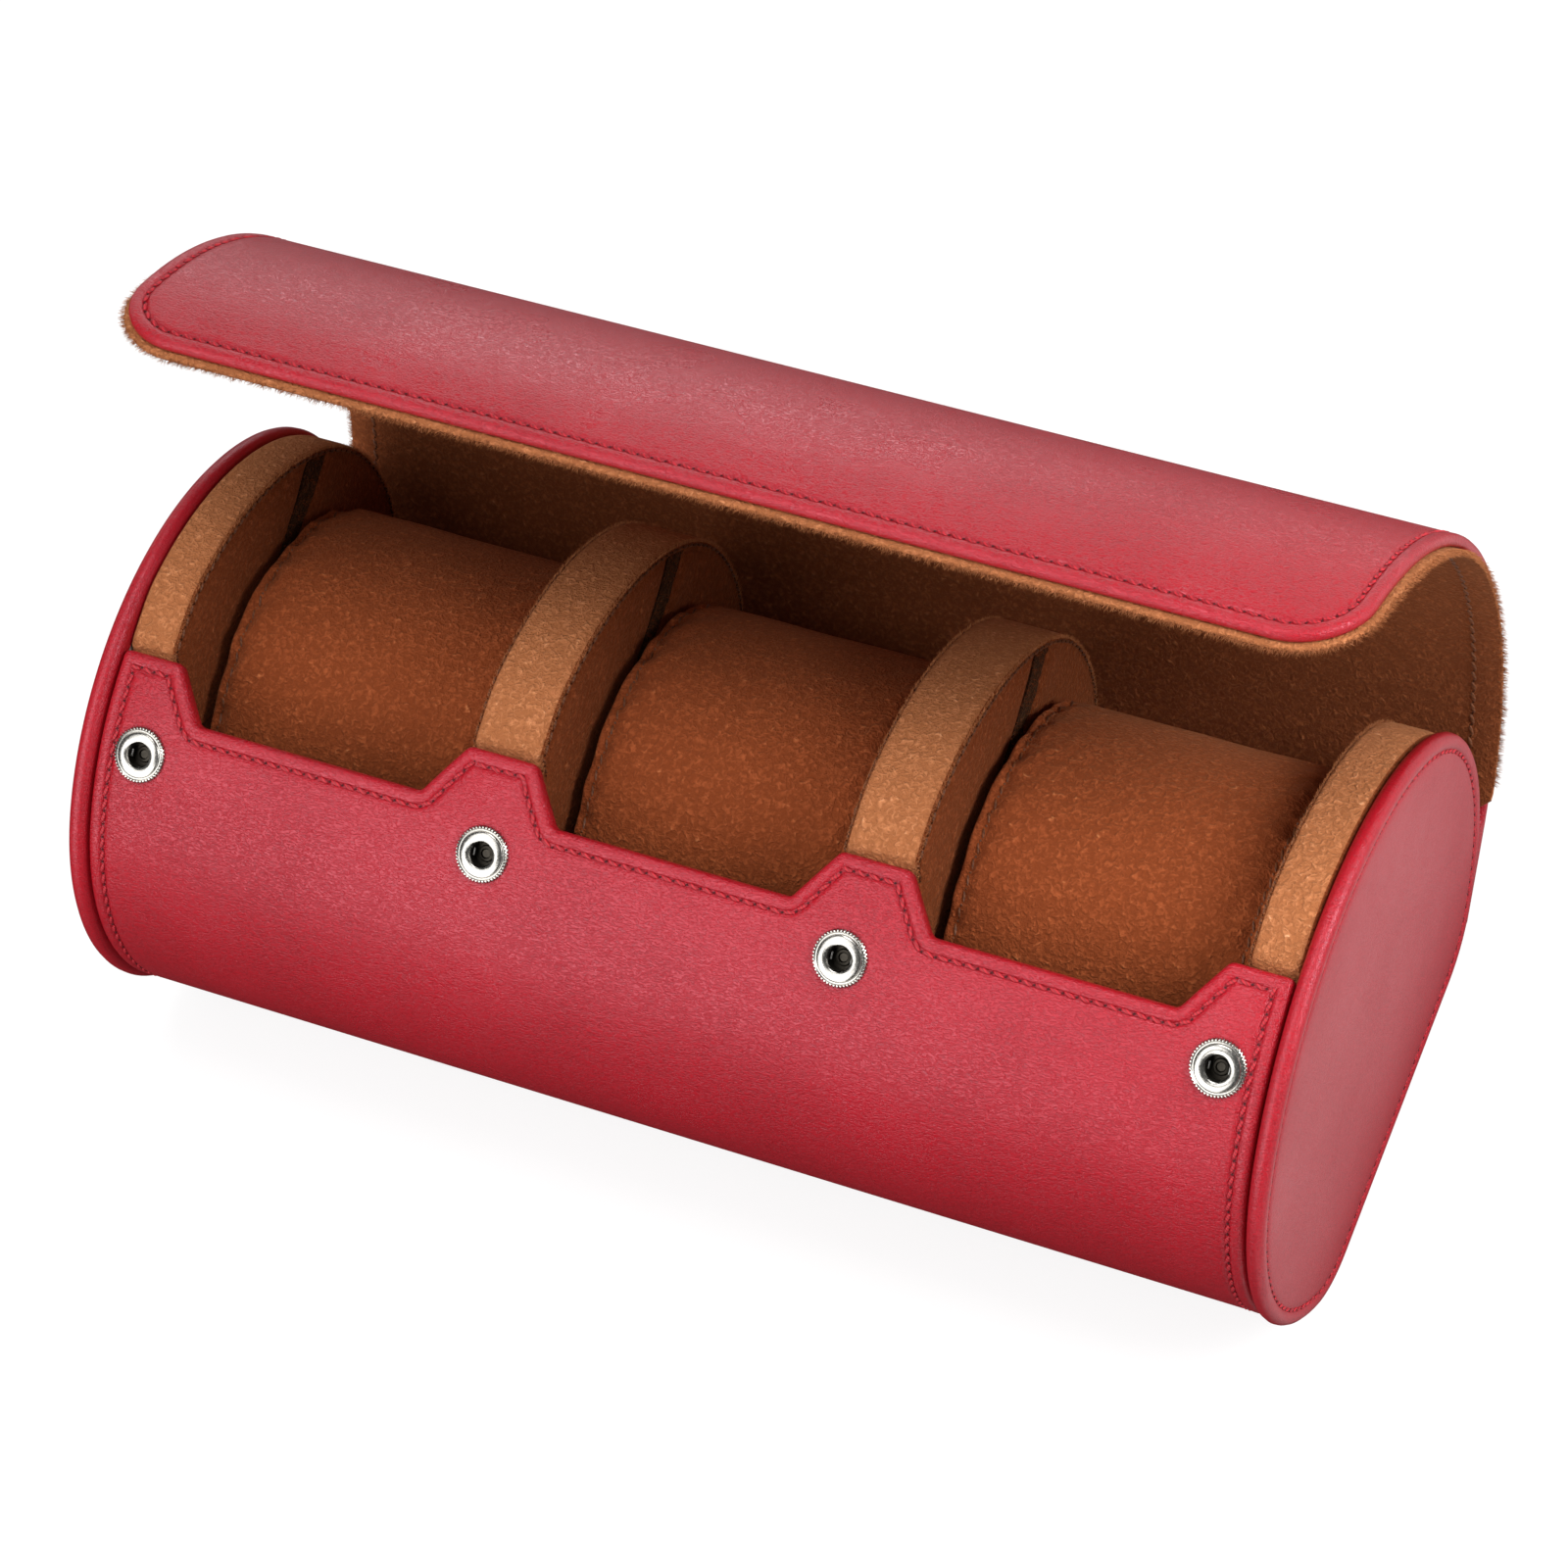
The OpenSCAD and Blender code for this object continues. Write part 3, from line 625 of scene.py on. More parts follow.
def makeCap():
    size = capSizes
    rings = [[(x, y, z) for y, z in outlinePoints(depth, size["foot"] + depth)]
             for depth, x in size["edge"]]
    cap = growSheet("cap_leather_right", rings)
    line = outlinePoints(size["stitchIn"], size["foot"] + size["stitchIn"])
    thread = sewLine("cap_thread_right", line, 0.0, closed=True,
                     sizes={**sewing, "height": 0.4})
    moveEach(thread, lambda co: Vector((size["stitchX"] + co.z, co.x, co.y)))
    pieces = [cap, thread, mirrorX(cap, "cap_leather_left"),
              mirrorX(thread, "cap_thread_left")]
    for piece in pieces:
        isThread = "thread" in piece.name
        finishPiece(piece, *((redThread, paintedHoleShade) if isThread else (capLeather,)))
        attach(piece, "case")
        if not isThread:
            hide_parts(piece.name.replace("leather", "cover"))


makeCap()
print("case: end caps sewn")


drumSizes = {
    # Below the caps' rim: the band inside the lining, and where the case is open
    "insideDepth": 4.65, "openDepth": 2.2, "openFrom": -34.6, "openTo": 103.2,
    # Degrees over which the band steps out, and its padding swells, from front and back
    "step": (1.2, 30.0), "swell": (14.0, 62.0), "proud": 1.5,
    "steps": (60, 34, 14, 24, 14, 60),
    "outerX": 108.4, "endFace": 99.5, "dividerMiddle": 34.6, "dividerHalf": 6.5,
    # (distance in from the edge, depth below the fullest outline) at a band's edge
    "rise": ((0.0, 1.5), (0.12, 0.75), (0.45, 0.28), (1.1, 0.08), (2.4, 0.0)), "under": 2.6,
    # (depth below the outline, height) of a face's turned-in edge, and
    # (share of the way out, height) of its middle, with the crown's height
    "faceEdge": ((2.4, -1.0), (1.35, -0.9), (1.15, -0.55), (1.3, -0.2), (1.9, 0.08),
                 (3.0, 0.3)),
    "faceDepth": 8.5, "faceRise": 0.55,
    "faceMiddle": ((0.85, 0.75), (0.65, 0.86), (0.45, 0.9), (0.25, 0.9), (0.1, 0.9)),
    # Points (Y, Z) near the back and the front end of the open part of the outline
    "openBack": (49, 22), "openFront": (-37, 66),
}


def ease(share):
    share = min(share, 1)
    return share * share * (3 - 2 * share)


# The drum's outline: proud where the case is open, against the lining elsewhere
def drumPoints(extra):
    size = drumSizes
    deep = size["insideDepth"] + extra
    points = []
    for leg, count in zip(outlineLegs(deep, deep - caseSizes["wallIn"]), size["steps"]):
        for step in range(count):
            run = legLength(leg) * step / count
            if len(leg) == 4:
                points.append(onPath([leg], run))
                continue
            angle = leg[3] + math.degrees(run / leg[2])
            # Past the case's front edge, or past its back edge
            end = 0 if angle < -180 else 1
            past = angle - size["openFrom"] if end else size["openTo"] - 360 - angle
            past = 0 if -180 <= angle <= -90 else max(past, 0)
            lift = ease(past / size["step"][end]) * (size["insideDepth"] - size["openDepth"])
            lift += ease(past / size["swell"][end]) * size["proud"]
            points.append(onPath([leg], run, lift))
    return points


def ringOf(points, x):
    return [(x, y, z) for y, z in points]


def towards(points, share):
    middleZ = caseSizes["sideCentre"][1]
    return [(y * share, middleZ + (z - middleZ) * share) for y, z in points]


def makeBand(name, first, last):
    # A strip sewn at its edges: slightly full, rolled under at each seam
    rise, under = drumSizes["rise"], drumSizes["under"]
    profile = [(first, under)] + [(first + a, b) for a, b in rise]
    profile += [(last - a, b) for a, b in reversed(rise)] + [(last, under)]
    return growSheet(name, [ringOf(drumPoints(extra), x) for x, extra in profile])


def openEdge(extra):
    # The part of the drum's outline that shows above the wall and inside the flap
    points = drumPoints(extra)

    def nearest(spot):
        return min(range(len(points)), key=lambda k: (Vector(points[k]) - Vector(spot)).length)
    start = nearest(drumSizes["openBack"])
    points = points[start:] + points[:start]
    return points[:nearest(drumSizes["openFront"])]


# A sewn seam down the edge of a band, and the loose fibres that stand out of it
seamSizes = {
    "depth": 1.0, "frayDepth": 0.35,    # below the fullest outline
    "proud": 0.12, "pitch": 2.2, "length": 1.7, "width": 0.5, "height": 0.5,
    "fray": (10, 0.8, -0.35, 0.15),     # fibres to the mm, their length, lowest, highest
}


def makeSeam(name, x, side):
    size = seamSizes
    thread = sewLine(name + "_thread", openEdge(size["depth"]), 0.0, sizes={**sewing, **size})
    moveEach(thread, lambda co: Vector((x + side * size["proud"] + co.z, co.x, co.y)))
    fray = frayLine(name + "_fray", openEdge(size["frayDepth"]), *size["fray"])
    moveEach(fray, lambda co: Vector((x + side * co.z, co.x, co.y)))
    return thread, fray


drumCrease = {
    "from": (41.7, 66.0), "down": (0.24, -0.97),    # a point, and the way across (y, z)
    "depth": 0.5, "width": 2.6,
    "lobe": 0.35, "hollow": 0.22,       # heights of the fuller part below it, and all over
    # The slit is widest at the rim, which it crosses by the length over
    "slit": 5.6, "narrow": 0.5, "length": 34.0, "over": 7.0, "floor": -0.85,
}


def makeFace(name, x, side):
    # The padded face, outward along side, sewn to the band at its edge
    size, crease = drumSizes, drumCrease
    rings = [ringOf(drumPoints(extra), x + side * out) for extra, out in size["faceEdge"]]
    inner = outlinePoints(size["faceDepth"], size["faceDepth"], size["steps"])
    rings.append(ringOf(inner, x + side * size["faceRise"]))
    for share, out in size["faceMiddle"]:
        rings.append(ringOf(towards(inner, share), x + side * out))
    face = growSheet(name, rings)
    if side < 0:
        turnFacesOver(face)
    addModifier(face, "REMESH", mode="VOXEL", voxel_size=1.0, use_smooth_shade=True)

    def acrossCrease(co):
        return (co.y - crease["from"][0]) * crease["down"][0] \
            + (co.z - crease["from"][1]) * crease["down"][1]

    def settle(co):
        # Small hollows in the padding, and a crease where the suede is drawn in
        out = crease["hollow"] * noise.noise(co * 0.055 + Vector((x, 3, 5)))
        away = acrossCrease(co)
        dip = crease["depth"] * math.exp(-(away / crease["width"]) ** 2)
        lobe = crease["lobe"] * math.exp(-((away - 5) / 4) ** 2) if away > 0 else 0
        return Vector((co.x + side * (out + lobe - dip) * (1 if (co.x - x) * side > -0.2 else 0),
                       co.y, co.z))
    moveEach(face, settle)
    addModifier(face, "SMOOTH", factor=0.5, iterations=2)
    # The open slit in the crease, where the two cut edges of the suede don't quite meet
    along = Vector((0, -crease["down"][1], crease["down"][0])).normalized()
    middle = Vector((x + side * (crease["floor"] + 2), *crease["from"])) \
        - along * (crease["length"] / 2 - crease["over"])
    slit = newPiece("slit", bpy.ops.mesh.primitive_cube_add, size=1)
    lie = Matrix.Rotation(math.atan2(along.z, along.y), 3, "X")
    for vertex in slit.data.vertices:
        wide = crease["slit"] * (1 if vertex.co.y > 0 else crease["narrow"])
        vertex.co = middle + lie @ Vector((vertex.co.x * 4, vertex.co.y * crease["length"],
                                           vertex.co.z * wide))
    addModifier(face, "BOOLEAN", operation="DIFFERENCE", object=slit, solver="MANIFOLD")
    bpy.data.objects.remove(slit)
    # The slit's walls and floor take the darkest suede: painted shade in the slit
    for polygon in face.data.polygons:
        spot = polygon.center
        inside = abs(acrossCrease(spot)) < crease["slit"] / 2 + 0.01 and spot.y > 15 \
            and (spot.x - x) * side > crease["floor"] - 0.01
        polygon.material_index = 1 if inside and abs(polygon.normal.x) < 0.5 \
            or inside and (spot.x - x) * side < crease["floor"] + 0.01 else 0
    return face


# The raw suede edge that lies in the slit, with its loose fibres: a strip that starts at
# the rim, ends short of the slit's end, narrows by a share and laps over the slit's sides
rawEdge = {
    "steps": 24, "wide": 6, "start": 0.9, "short": 12.0, "taper": 0.38, "lap": 0.3,
    "rimDepth": 1.5, "low": 0.05, "rise": 0.65, "rough": 0.16, "under": -0.8,
    "fibres": 260, "scatter": 0.4, "length": (0.4, 0.9),
}


def makeRawEdge(name, x, side):
    size, crease = rawEdge, drumCrease
    along = Vector((-crease["down"][1], crease["down"][0]))
    across = Vector(crease["down"])
    steps, wide = size["steps"], size["wide"]
    top, bottom = [], []
    centre = Vector((0, caseSizes["sideCentre"][1]))
    rim = [Vector(p) - centre for p in drumPoints(size["rimDepth"])]

    def underRim(point):
        # Pulled in to the drum's outline where it would stand out of the rim
        arm = point - centre
        limit = max(rim, key=lambda spoke: spoke.normalized().dot(arm.normalized())).length
        return centre + arm.normalized() * min(arm.length, limit)
    for step in range(steps + 1):
        share = step / steps
        middle = Vector(crease["from"]) \
            - along * (size["start"] + share * (crease["length"] - size["short"]))
        half = crease["slit"] * (1 - size["taper"] * share) / 2 + size["lap"]
        for place in range(wide + 1):
            point = underRim(middle + across * half * (2 * place / wide - 1))
            rough = size["rough"] * noise.noise(Vector((point.x * 1.3, point.y * 1.3, x)))
            out = size["low"] + size["rise"] * min(1, share * 2.5) + rough
            top.append((x + side * out, *point))
            bottom.append((x + side * size["under"], *point))
    row = wide + 1
    count = len(top)
    faces = []
    for step in range(steps):
        for place in range(wide):
            a = step * row + place
            faces += [(a, a + 1, a + row + 1, a + row),
                      (count + a + row, count + a + row + 1, count + a + 1, count + a)]
    ring = list(range(row)) + [s * row + wide for s in range(1, steps + 1)] \
        + [steps * row + place for place in range(wide - 1, -1, -1)] \
        + [s * row for s in range(steps - 1, 0, -1)]
    for a, b in zip(ring, ring[1:] + ring[:1]):
        faces.append((b, a, count + a, count + b))
    strip = meshPiece(name, top + bottom, faces)
    verts, slivers = [], []
    scatter = size["scatter"]
    for number in range(size["fibres"]):
        root = Vector(random.choice(top[:count - 2 * row]))
        root += Vector((0, random.uniform(-scatter, scatter), random.uniform(-scatter, scatter)))
        lean = Vector((side * random.uniform(0.2, 0.8), random.uniform(-1, 1),
                       random.uniform(-1, 1))).normalized()
        tip = root + lean * random.uniform(*size["length"])
        slivers += sliverFaces(len(verts))
        verts += [root + Vector((0, 0.06, 0)), root - Vector((0, 0.06, 0)),
                  root + Vector((0, 0, 0.08)), tip]
    fray = meshPiece(name + "_fray", verts, slivers)
    faceOutwards(strip)
    faceOutwards(fray)
    return strip, fray


def makeDrums():
    size = drumSizes
    left, half, middle = -size["endFace"], size["dividerHalf"], size["dividerMiddle"]
    bands = [("end_band_left", -size["outerX"], left),
             ("end_band_right", -left, size["outerX"]),
             ("divider_band_left", -middle - half, -middle + half),
             ("divider_band_right", middle - half, middle + half)]
    for node, first, last in bands:
        band = makeBand(node.replace("band", "strip"), first, last)
        finishPiece(band, tanSuede, paintedShadeFaceSuede, angle=60)
        # The band's sides, facing along X, take the darker copy: painted shade
        for polygon in band.data.polygons:
            polygon.material_index = 1 if abs(polygon.normal.x) > 0.8 else 0
        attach(band, "case")
        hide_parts(node)
        for place, x, side in (("outer", first, -1), ("inner", last, 1)):
            if abs(x) == size["outerX"]:
                continue        # hidden against the cap
            thread, fray = makeSeam(node.replace("band", "seam_" + place), x, side)
            finishPiece(thread, brownThread, shadedSuede)
            finishPiece(fray, tanSuede, angle=60)
            for piece in (thread, fray):
                faceOutwards(piece)
                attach(piece, "case")
    faces = [("end_pad_left", left, 1), ("end_pad_right", -left, -1),
             ("divider_pad_left_outer", -middle - half, -1),
             ("divider_pad_left_inner", -middle + half, 1),
             ("divider_pad_right_inner", middle - half, -1),
             ("divider_pad_right_outer", middle + half, 1)]
    for node, x, side in faces:
        face = makeFace(node.replace("pad", "face"), x, side)
        finishPiece(face, paintedShadeFaceSuede, shadedSuede, angle=50)
        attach(face, "case")
        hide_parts(node)
        strip, fray = makeRawEdge(node.replace("pad", "raw_edge"), x, side)
        # The strip takes the darkest suede: painted shade in the slit
        finishPiece(strip, shadedSuede)
        finishPiece(fray, paintedShadeFaceSuede, angle=60)
        for piece in (strip, fray):
            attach(piece, "case")


makeDrums()
print("case: drums and dividers padded")


cushionSizes = {
    "halfDepth": 36.0, "halfHeight": 34.0, "middleY": 6.0, "middleZ": 37.95,
    "sideMiddle": 70.3, "sideHalf": 27.7, "middleHalf": 26.6,
    "seamIn": 3.2, "start": 1.3, "cap": 1.9, "voxel": 3.0,
    "rim": 1.1,          # the stiff turned edge outside each seam stands up by this much
    # (share of the way along, share of the section) from end to end
    "profile": ((-1.0, 0.95), (-0.985, 0.98), (-0.95, 0.995), (-0.6, 1.0), (0, 1.0),
                (0.6, 1.0), (0.95, 0.995), (0.985, 0.98), (1.0, 0.95)),
    "points": 96, "frames": 20, "pressure": 4,
    "uneven": 0.35, "draw": 0.75,       # the foam's hollows, and the depth of the seams
    "spare": 0.05, "limit": 1.012,      # kept inside the CAD cover along X, and round it
    # The seam's line is looked for in steps, that are sewn as mm of a flat line
    "seamPoints": 240, "seamStep": 0.78, "seamLift": 0.05,
    "sewing": {"pitch": 2.6, "length": 1.9, "width": 0.5, "height": 0.5},
}


def makeCushion(name, node, roll, x, half):
    size = cushionSizes
    a, b = size["halfDepth"] - size["start"], size["halfHeight"] - size["start"]
    long = half - size["start"] + 0.4
    circle = [turn(t * 360 / size["points"]) for t in range(size["points"])]
    rings = [[(x + long * along, size["middleY"] + a * share * c,
               size["middleZ"] + b * share * s) for c, s in circle]
             for along, share in size["profile"]]
    cushion = growSheet(name, rings)
    addModifier(cushion, "REMESH", mode="VOXEL", voxel_size=size["voxel"])
    rest = [v.co.copy() for v in cushion.data.vertices]
    choose(cushion)
    moveEach(cushion, lambda co: co * 0.001)
    cloth = cushion.modifiers.new("Cloth", "CLOTH")
    cloth.settings.use_pressure = True
    cloth.settings.uniform_pressure_force = size["pressure"]
    cloth.settings.effector_weights.gravity = 0
    cloth.point_cache.frame_start, cloth.point_cache.frame_end = 1, size["frames"]
    for number in range(1, size["frames"] + 1):
        bpy.context.scene.frame_set(number)
    bpy.ops.object.modifier_apply(modifier=cloth.name)
    bpy.context.scene.frame_set(1)
    moveEach(cushion, lambda co: co * 1000)
    for vertex, was in zip(cushion.data.vertices, rest):
        move = vertex.co - was
        if move.length > size["cap"]:
            vertex.co = was + move.normalized() * size["cap"]
    addModifier(cushion, "SUBSURF", levels=2, render_levels=2)
    seams = (x - half + size["seamIn"], x + half - size["seamIn"])

    def settle(co):
        # Drawn in at the two seams, with small puckers, and slightly uneven foam
        axis = Vector((0, co.y - size["middleY"], co.z - size["middleZ"]))
        around = math.atan2(axis.z, axis.y)
        away = min(abs(co.x - seam) for seam in seams)
        pucker = 0.75 + 0.45 * math.sin(around * 38 + 3 * noise.noise(axis * 0.2))
        out = size["uneven"] * noise.noise(co * 0.06) \
            - size["draw"] * pucker * math.exp(-(away / 1.1) ** 2)
        out -= 0.18 * math.sin(around * 21 + co.x) * math.exp(-(away / 6) ** 2)
        out += size["rim"] * math.exp(-((half - abs(co.x - x) - 1.4) / 1.0) ** 2)
        return co + axis.normalized() * out * min(1, axis.length / 20)

    def keepIn(co):
        # Kept inside the space of its CAD cover
        y = (co.y - size["middleY"]) / size["halfDepth"]
        z = (co.z - size["middleZ"]) / size["halfHeight"]
        far = math.hypot(y, z)
        scale = min(1.0, size["limit"] / far) if far else 1
        end = half - size["spare"]
        return Vector((max(x - end, min(x + end, co.x)),
                       size["middleY"] + y * scale * size["halfDepth"],
                       size["middleZ"] + z * scale * size["halfHeight"]))
    moveEach(cushion, settle)
    moveEach(cushion, keepIn)
    tree = BVHTree.FromPolygons([v.co for v in cushion.data.vertices],
                                [list(p.vertices) for p in cushion.data.polygons])
    centre = Vector((0, size["middleY"], size["middleZ"]))
    count, step = size["seamPoints"], size["seamStep"]
    threads = []
    for index, seam in enumerate(seams):
        hits = []
        for number in range(count):
            c, s = turn(number * 360 / count)
            hits.append(tree.ray_cast(centre + Vector((seam, 0, 0)) + Vector((0, c, s)) * 60,
                                      Vector((0, -c, -s)))[0])
        hits.append(hits[0])
        flat = [(number * step, 0.0) for number in range(count + 1)]
        thread = sewLine(name + "_thread%d" % index, flat, 0.0,
                         sizes={**sewing, **size["sewing"]})

        def bend(co):
            place = max(0.0, min(count - 0.001, co.x / step))
            low = int(place)
            spot = hits[low].lerp(hits[low + 1], place - low)
            out = Vector((0, spot.y - centre.y, spot.z - centre.z)).normalized()
            return Vector((spot.x + co.y, spot.y, spot.z)) + out * (co.z + size["seamLift"])
        moveEach(thread, bend)
        threads.append(thread)
    choose(*threads)
    bpy.ops.object.join()
    thread = threads[0]
    thread.name = thread.data.name = name + "_thread"
    faceOutwards(thread)
    finishPiece(cushion, cushionSuede, angle=80)
    finishPiece(thread, brownThread, shadedSuede)
    for piece in (cushion, thread):
        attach(piece, name)
    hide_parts(node, roll)


for place, x, half in (("left", -cushionSizes["sideMiddle"], cushionSizes["sideHalf"]),
                       ("middle", 0.0, cushionSizes["middleHalf"]),
                       ("right", cushionSizes["sideMiddle"], cushionSizes["sideHalf"])):
    makeCushion("cushion_" + place, "cushion_cover_" + place, "cushion_roll_" + place, x, half)
print("case: cushions stuffed")


flapSizes = {
    "centre": (-0.855, 64.262), "outer": 72.1, "hinge": -44.3, "gap": 0.48, "panel": 23.6,
    "front": 72.2, "footZ": 1.0, "halfLength": 111.3, "corner": 13.0, "thickness": 2.2,
    "stitchIn": 2.85, "slice": 1.6, "bend": 5.0,
    "edge": ((5.0, -2.2), (0.9, -2.2), (0.35, -2.05), (0.05, -1.7), (0.0, -1.2), (0.1, -0.7),
             (0.35, -0.28), (0.8, -0.05), (1.3, 0.02), (1.9, 0.0), (2.3, -0.1), (2.56, -0.38),
             (3.14, -0.38), (3.45, -0.12), (4.2, -0.03)),
}


def flapLegs(radius):
    size = flapSizes
    c, s = turn(size["hinge"] - size["gap"])
    topY, topZ = size["centre"][0] + radius * c, size["centre"][1] + radius * s
    drop = (topZ - size["footZ"]) / c
    return [(topY + drop * s, size["footZ"], topY, topZ),
            (*size["centre"], radius, size["hinge"] - size["gap"], size["front"] + 6)]


def flapRun(angle, radius, spine):
    return spine + radius * math.radians(angle - flapSizes["hinge"] + flapSizes["gap"])


def blendAt(piece):
    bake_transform(piece)


def cutPiece(piece, name, low, high):
    twin = copyPiece(piece, name)
    for run, normal in ((low, -1), (high, 1)):
        if run is None:
            continue
        edit(twin)
        bpy.ops.mesh.bisect(plane_co=(0, run, 0), plane_no=(0, normal, 0), use_fill=True,
                            clear_outer=True)
        finishEdit()
    return twin


def makeFlapLeather():
    size = flapSizes
    legs = flapLegs(size["outer"])
    spine = legLength(legs[0])
    front = flapRun(size["front"], size["outer"], spine)
    end = size["halfLength"]
    corners = [(-end, 0, 1.0), (end, 0, 1.0), (end, front, size["corner"]),
               (-end, front, size["corner"])]
    rings = [[(p.x, p.y, out) for p in setIn(corners, inset, 12)] for inset, out in size["edge"]]
    whole = growSheet("flapWhole", rings)
    sliceAcross(whole, 0, front, size["slice"])
    cuts = [None] + [flapRun(size["hinge"] + size["panel"] * (i + 0.5), size["outer"], spine)
                     for i in range(4)] + [None]
    sideY, sideZ = caseSizes["sideCentre"]

    def fillSpine(co):
        # Under the hinge the leather lies on a filler, down to the wall
        if co.z > -1.9 or co.y > spine + 3:
            return co
        y, z = onPath(legs, co.y)
        gap = math.hypot(y - sideY, z - sideZ) - caseSizes["sideRadius"] + caseSizes["wallIn"]
        share = max(0.0, min(1.0, (spine + 3 - co.y) / 6))
        return Vector((co.x, co.y, -2.2 - (gap - 2.3) * share))
    moveEach(whole, fillSpine)
    line = setIn(corners, size["stitchIn"], 12)
    # The stitches run up one end, along the front and down the other, not round the foot
    start = min(range(len(line)), key=lambda k: (line[k] - Vector((end, 0))).length)
    line = [line[(start + k) % len(line)] for k in range(len(line))]
    for index in range(5):
        low, high = cuts[index], cuts[index + 1]
        cover = cutPiece(whole, "flap_leather_%d" % (index + 1), low, high)
        wrapOn(cover, legs)
        thread = sewLine("flap_thread_%d" % (index + 1), line, -0.22, keep=lambda p: (
            (low is None or p.y >= low) and (high is None or p.y < high) and p.y > 3))
        wrapOn(thread, legs)
        finishPiece(cover, redLeather)
        finishPiece(thread, redThread, paintedHoleShade)
        for piece in (cover, thread):
            blendAt(piece)
        nodes = ["flap_cover_%d" % (index + 1), "flap_felt_%d" % (index + 1)]
        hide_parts(*(nodes + (["hinge_spine"] if index == 0 else [])))
    bpy.data.objects.remove(whole)


makeFlapLeather()
print("case: flap leather sewn")


liningSizes = {
    "outer": 69.85, "thickness": 0.95, "over": 1.1, "slice": 1.6, "fray": 1.5, "seamIn": 4.0,
    "foldHalf": 108.0,
    "edge": ((4.0, -0.95), (0.5, -0.95), (0.12, -0.75), (0.0, -0.45), (0.12, -0.15), (0.5, 0.0),
             (1.6, 0.0), (4.0, 0.0)),
    # Points (y, z) from the wall's lining over its edge to the flap
    "fold": ((40.2, 13.4), (41.2, 15.1), (43.4, 16.1), (46.4, 16.2), (49.2, 16.9)),
}


def makeFlapLining():
    size, flap = liningSizes, flapSizes
    startAngle = flap["hinge"] + 3.2
    c, s = turn(startAngle)
    arc = (*flap["centre"], size["outer"], startAngle, flap["front"] + 6)
    fold = list(size["fold"]) + [(arc[0] + size["outer"] * c, arc[1] + size["outer"] * s)]
    legs = [(*a, *b) for a, b in zip(fold, fold[1:])] + [arc]
    bent = sum(legLength(leg) for leg in legs[:-1])

    def runAt(angle):
        return bent + size["outer"] * math.radians(angle - startAngle)
    front = runAt(flap["front"]) + size["over"]
    end = flap["halfLength"] + size["over"]
    corners = [(-end, 0, 1.0), (end, 0, 1.0), (end, front, flap["corner"] + size["over"]),
               (-end, front, flap["corner"] + size["over"])]
    rings = [[(p.x, p.y, out) for p in setIn(corners, inset, 12)] for inset, out in size["edge"]]
    whole = growSheet("liningWhole", rings)
    sliceAcross(whole, 0, front, size["slice"])

    def narrow(co):
        # Between the caps the fold has to be shorter than the flap
        share = max(0.0, min(1.0, (bent + 3 - co.y) / 4))
        limit = end - share * (end - size["foldHalf"])
        return Vector((co.x * (limit / end), co.y, co.z))
    moveEach(whole, narrow)
    cuts = [None] + [runAt(flap["hinge"] + flap["panel"] * (i + 0.5)) for i in range(4)] + [None]
    edge = setIn(corners, 0.1, 12)
    edge.append(edge[0])
    seam = setIn(corners, size["seamIn"] + size["over"], 12)
    seam.append(seam[0])
    for index in range(5):
        low, high = cuts[index], cuts[index + 1]
        lining = cutPiece(whole, "flap_suede_%d" % (index + 1), low, high)
        wrapOn(lining, legs)
        fray = frayLine("flap_fray_%d" % (index + 1), edge, 14, size["fray"],
                        -size["thickness"], 0.0, keep=lambda p: (
                            p.y > (low or bent + 6) and (high is None or p.y < high)))
        wrapOn(fray, legs)
        finishPiece(lining, paintedShadeLiningSuede, tanSuede, angle=60)
        # The side towards the leather and the cut edge keep the plain tan suede; the side that
        # faces in takes the darker copy, painted shade
        for polygon in lining.data.polygons:
            y, z = polygon.center.y * 1000, polygon.center.z * 1000
            depth = size["outer"] - math.hypot(y - flap["centre"][0], z - flap["centre"][1])
            rim = abs(polygon.center.x) * 1000 > end - 0.2
            polygon.material_index = 1 if depth < 0.6 or rim else 0
        thread = sewLine("flap_seam_%d" % (index + 1), seam, -size["thickness"], keep=lambda p: (
            abs(p.x) > end - 9 and p.y > (low or bent + 6) and (high is None or p.y < high)))
        wrapOn(thread, legs)
        finishPiece(fray, tanSuede, angle=60)
        finishPiece(thread, brownThread, shadedSuede)
        for piece in (lining, fray, thread):
            blendAt(piece)
        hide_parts("flap_lining_%d" % (index + 1))
    bpy.data.objects.remove(whole)


makeFlapLining()
print("case: flap lined")


snapSizes = {
    "points": 192,       # four to each of the 48 teeth of the milled edge
    # (radius, height over the leather) from under the tube, round the ring, to its floor
    "ring": ((1.0, -2.25), (2.35, -2.25), (2.47, -2.1), (2.47, -0.29), (4.7, -0.28),
             (4.92, -0.1), (4.92, 0.3), (4.72, 0.5), (4.45, 0.54), (4.25, 0.38), (4.08, 0.4),
             (3.9, 0.66), (3.6, 0.8), (3.0, 0.86), (2.6, 0.84), (2.3, 0.7), (2.12, 0.4),
             (2.1, -0.9), (2.1, -1.85), (1.5, -1.85), (1.3, -1.5), (0.9, -1.42), (0.7, -1.75)),
    # (radius, height over the flap's lining) from the ball of the stud to its flange
    "stud": ((0.6, -2.2), (1.0, -2.12), (1.22, -1.92), (1.22, -1.6), (1.08, -1.2), (1.1, -0.7),
             (1.4, -0.42), (2.2, -0.3), (2.6, -0.14), (3.4, -0.18), (3.85, -0.12), (4.0, 0.05),
             (4.0, 0.4), (3.9, 0.58), (3.2, 0.62)),
    # Where the studs sit on the flap, and how far each crease turns to close it, in degrees
    "studAngle": 67.5, "liningRadius": 68.85, "closing": (21.8, 13.0, 9.2, 3.3, 7.0),
    "creaseRadius": 71.5, "tooth": 0.24,
}


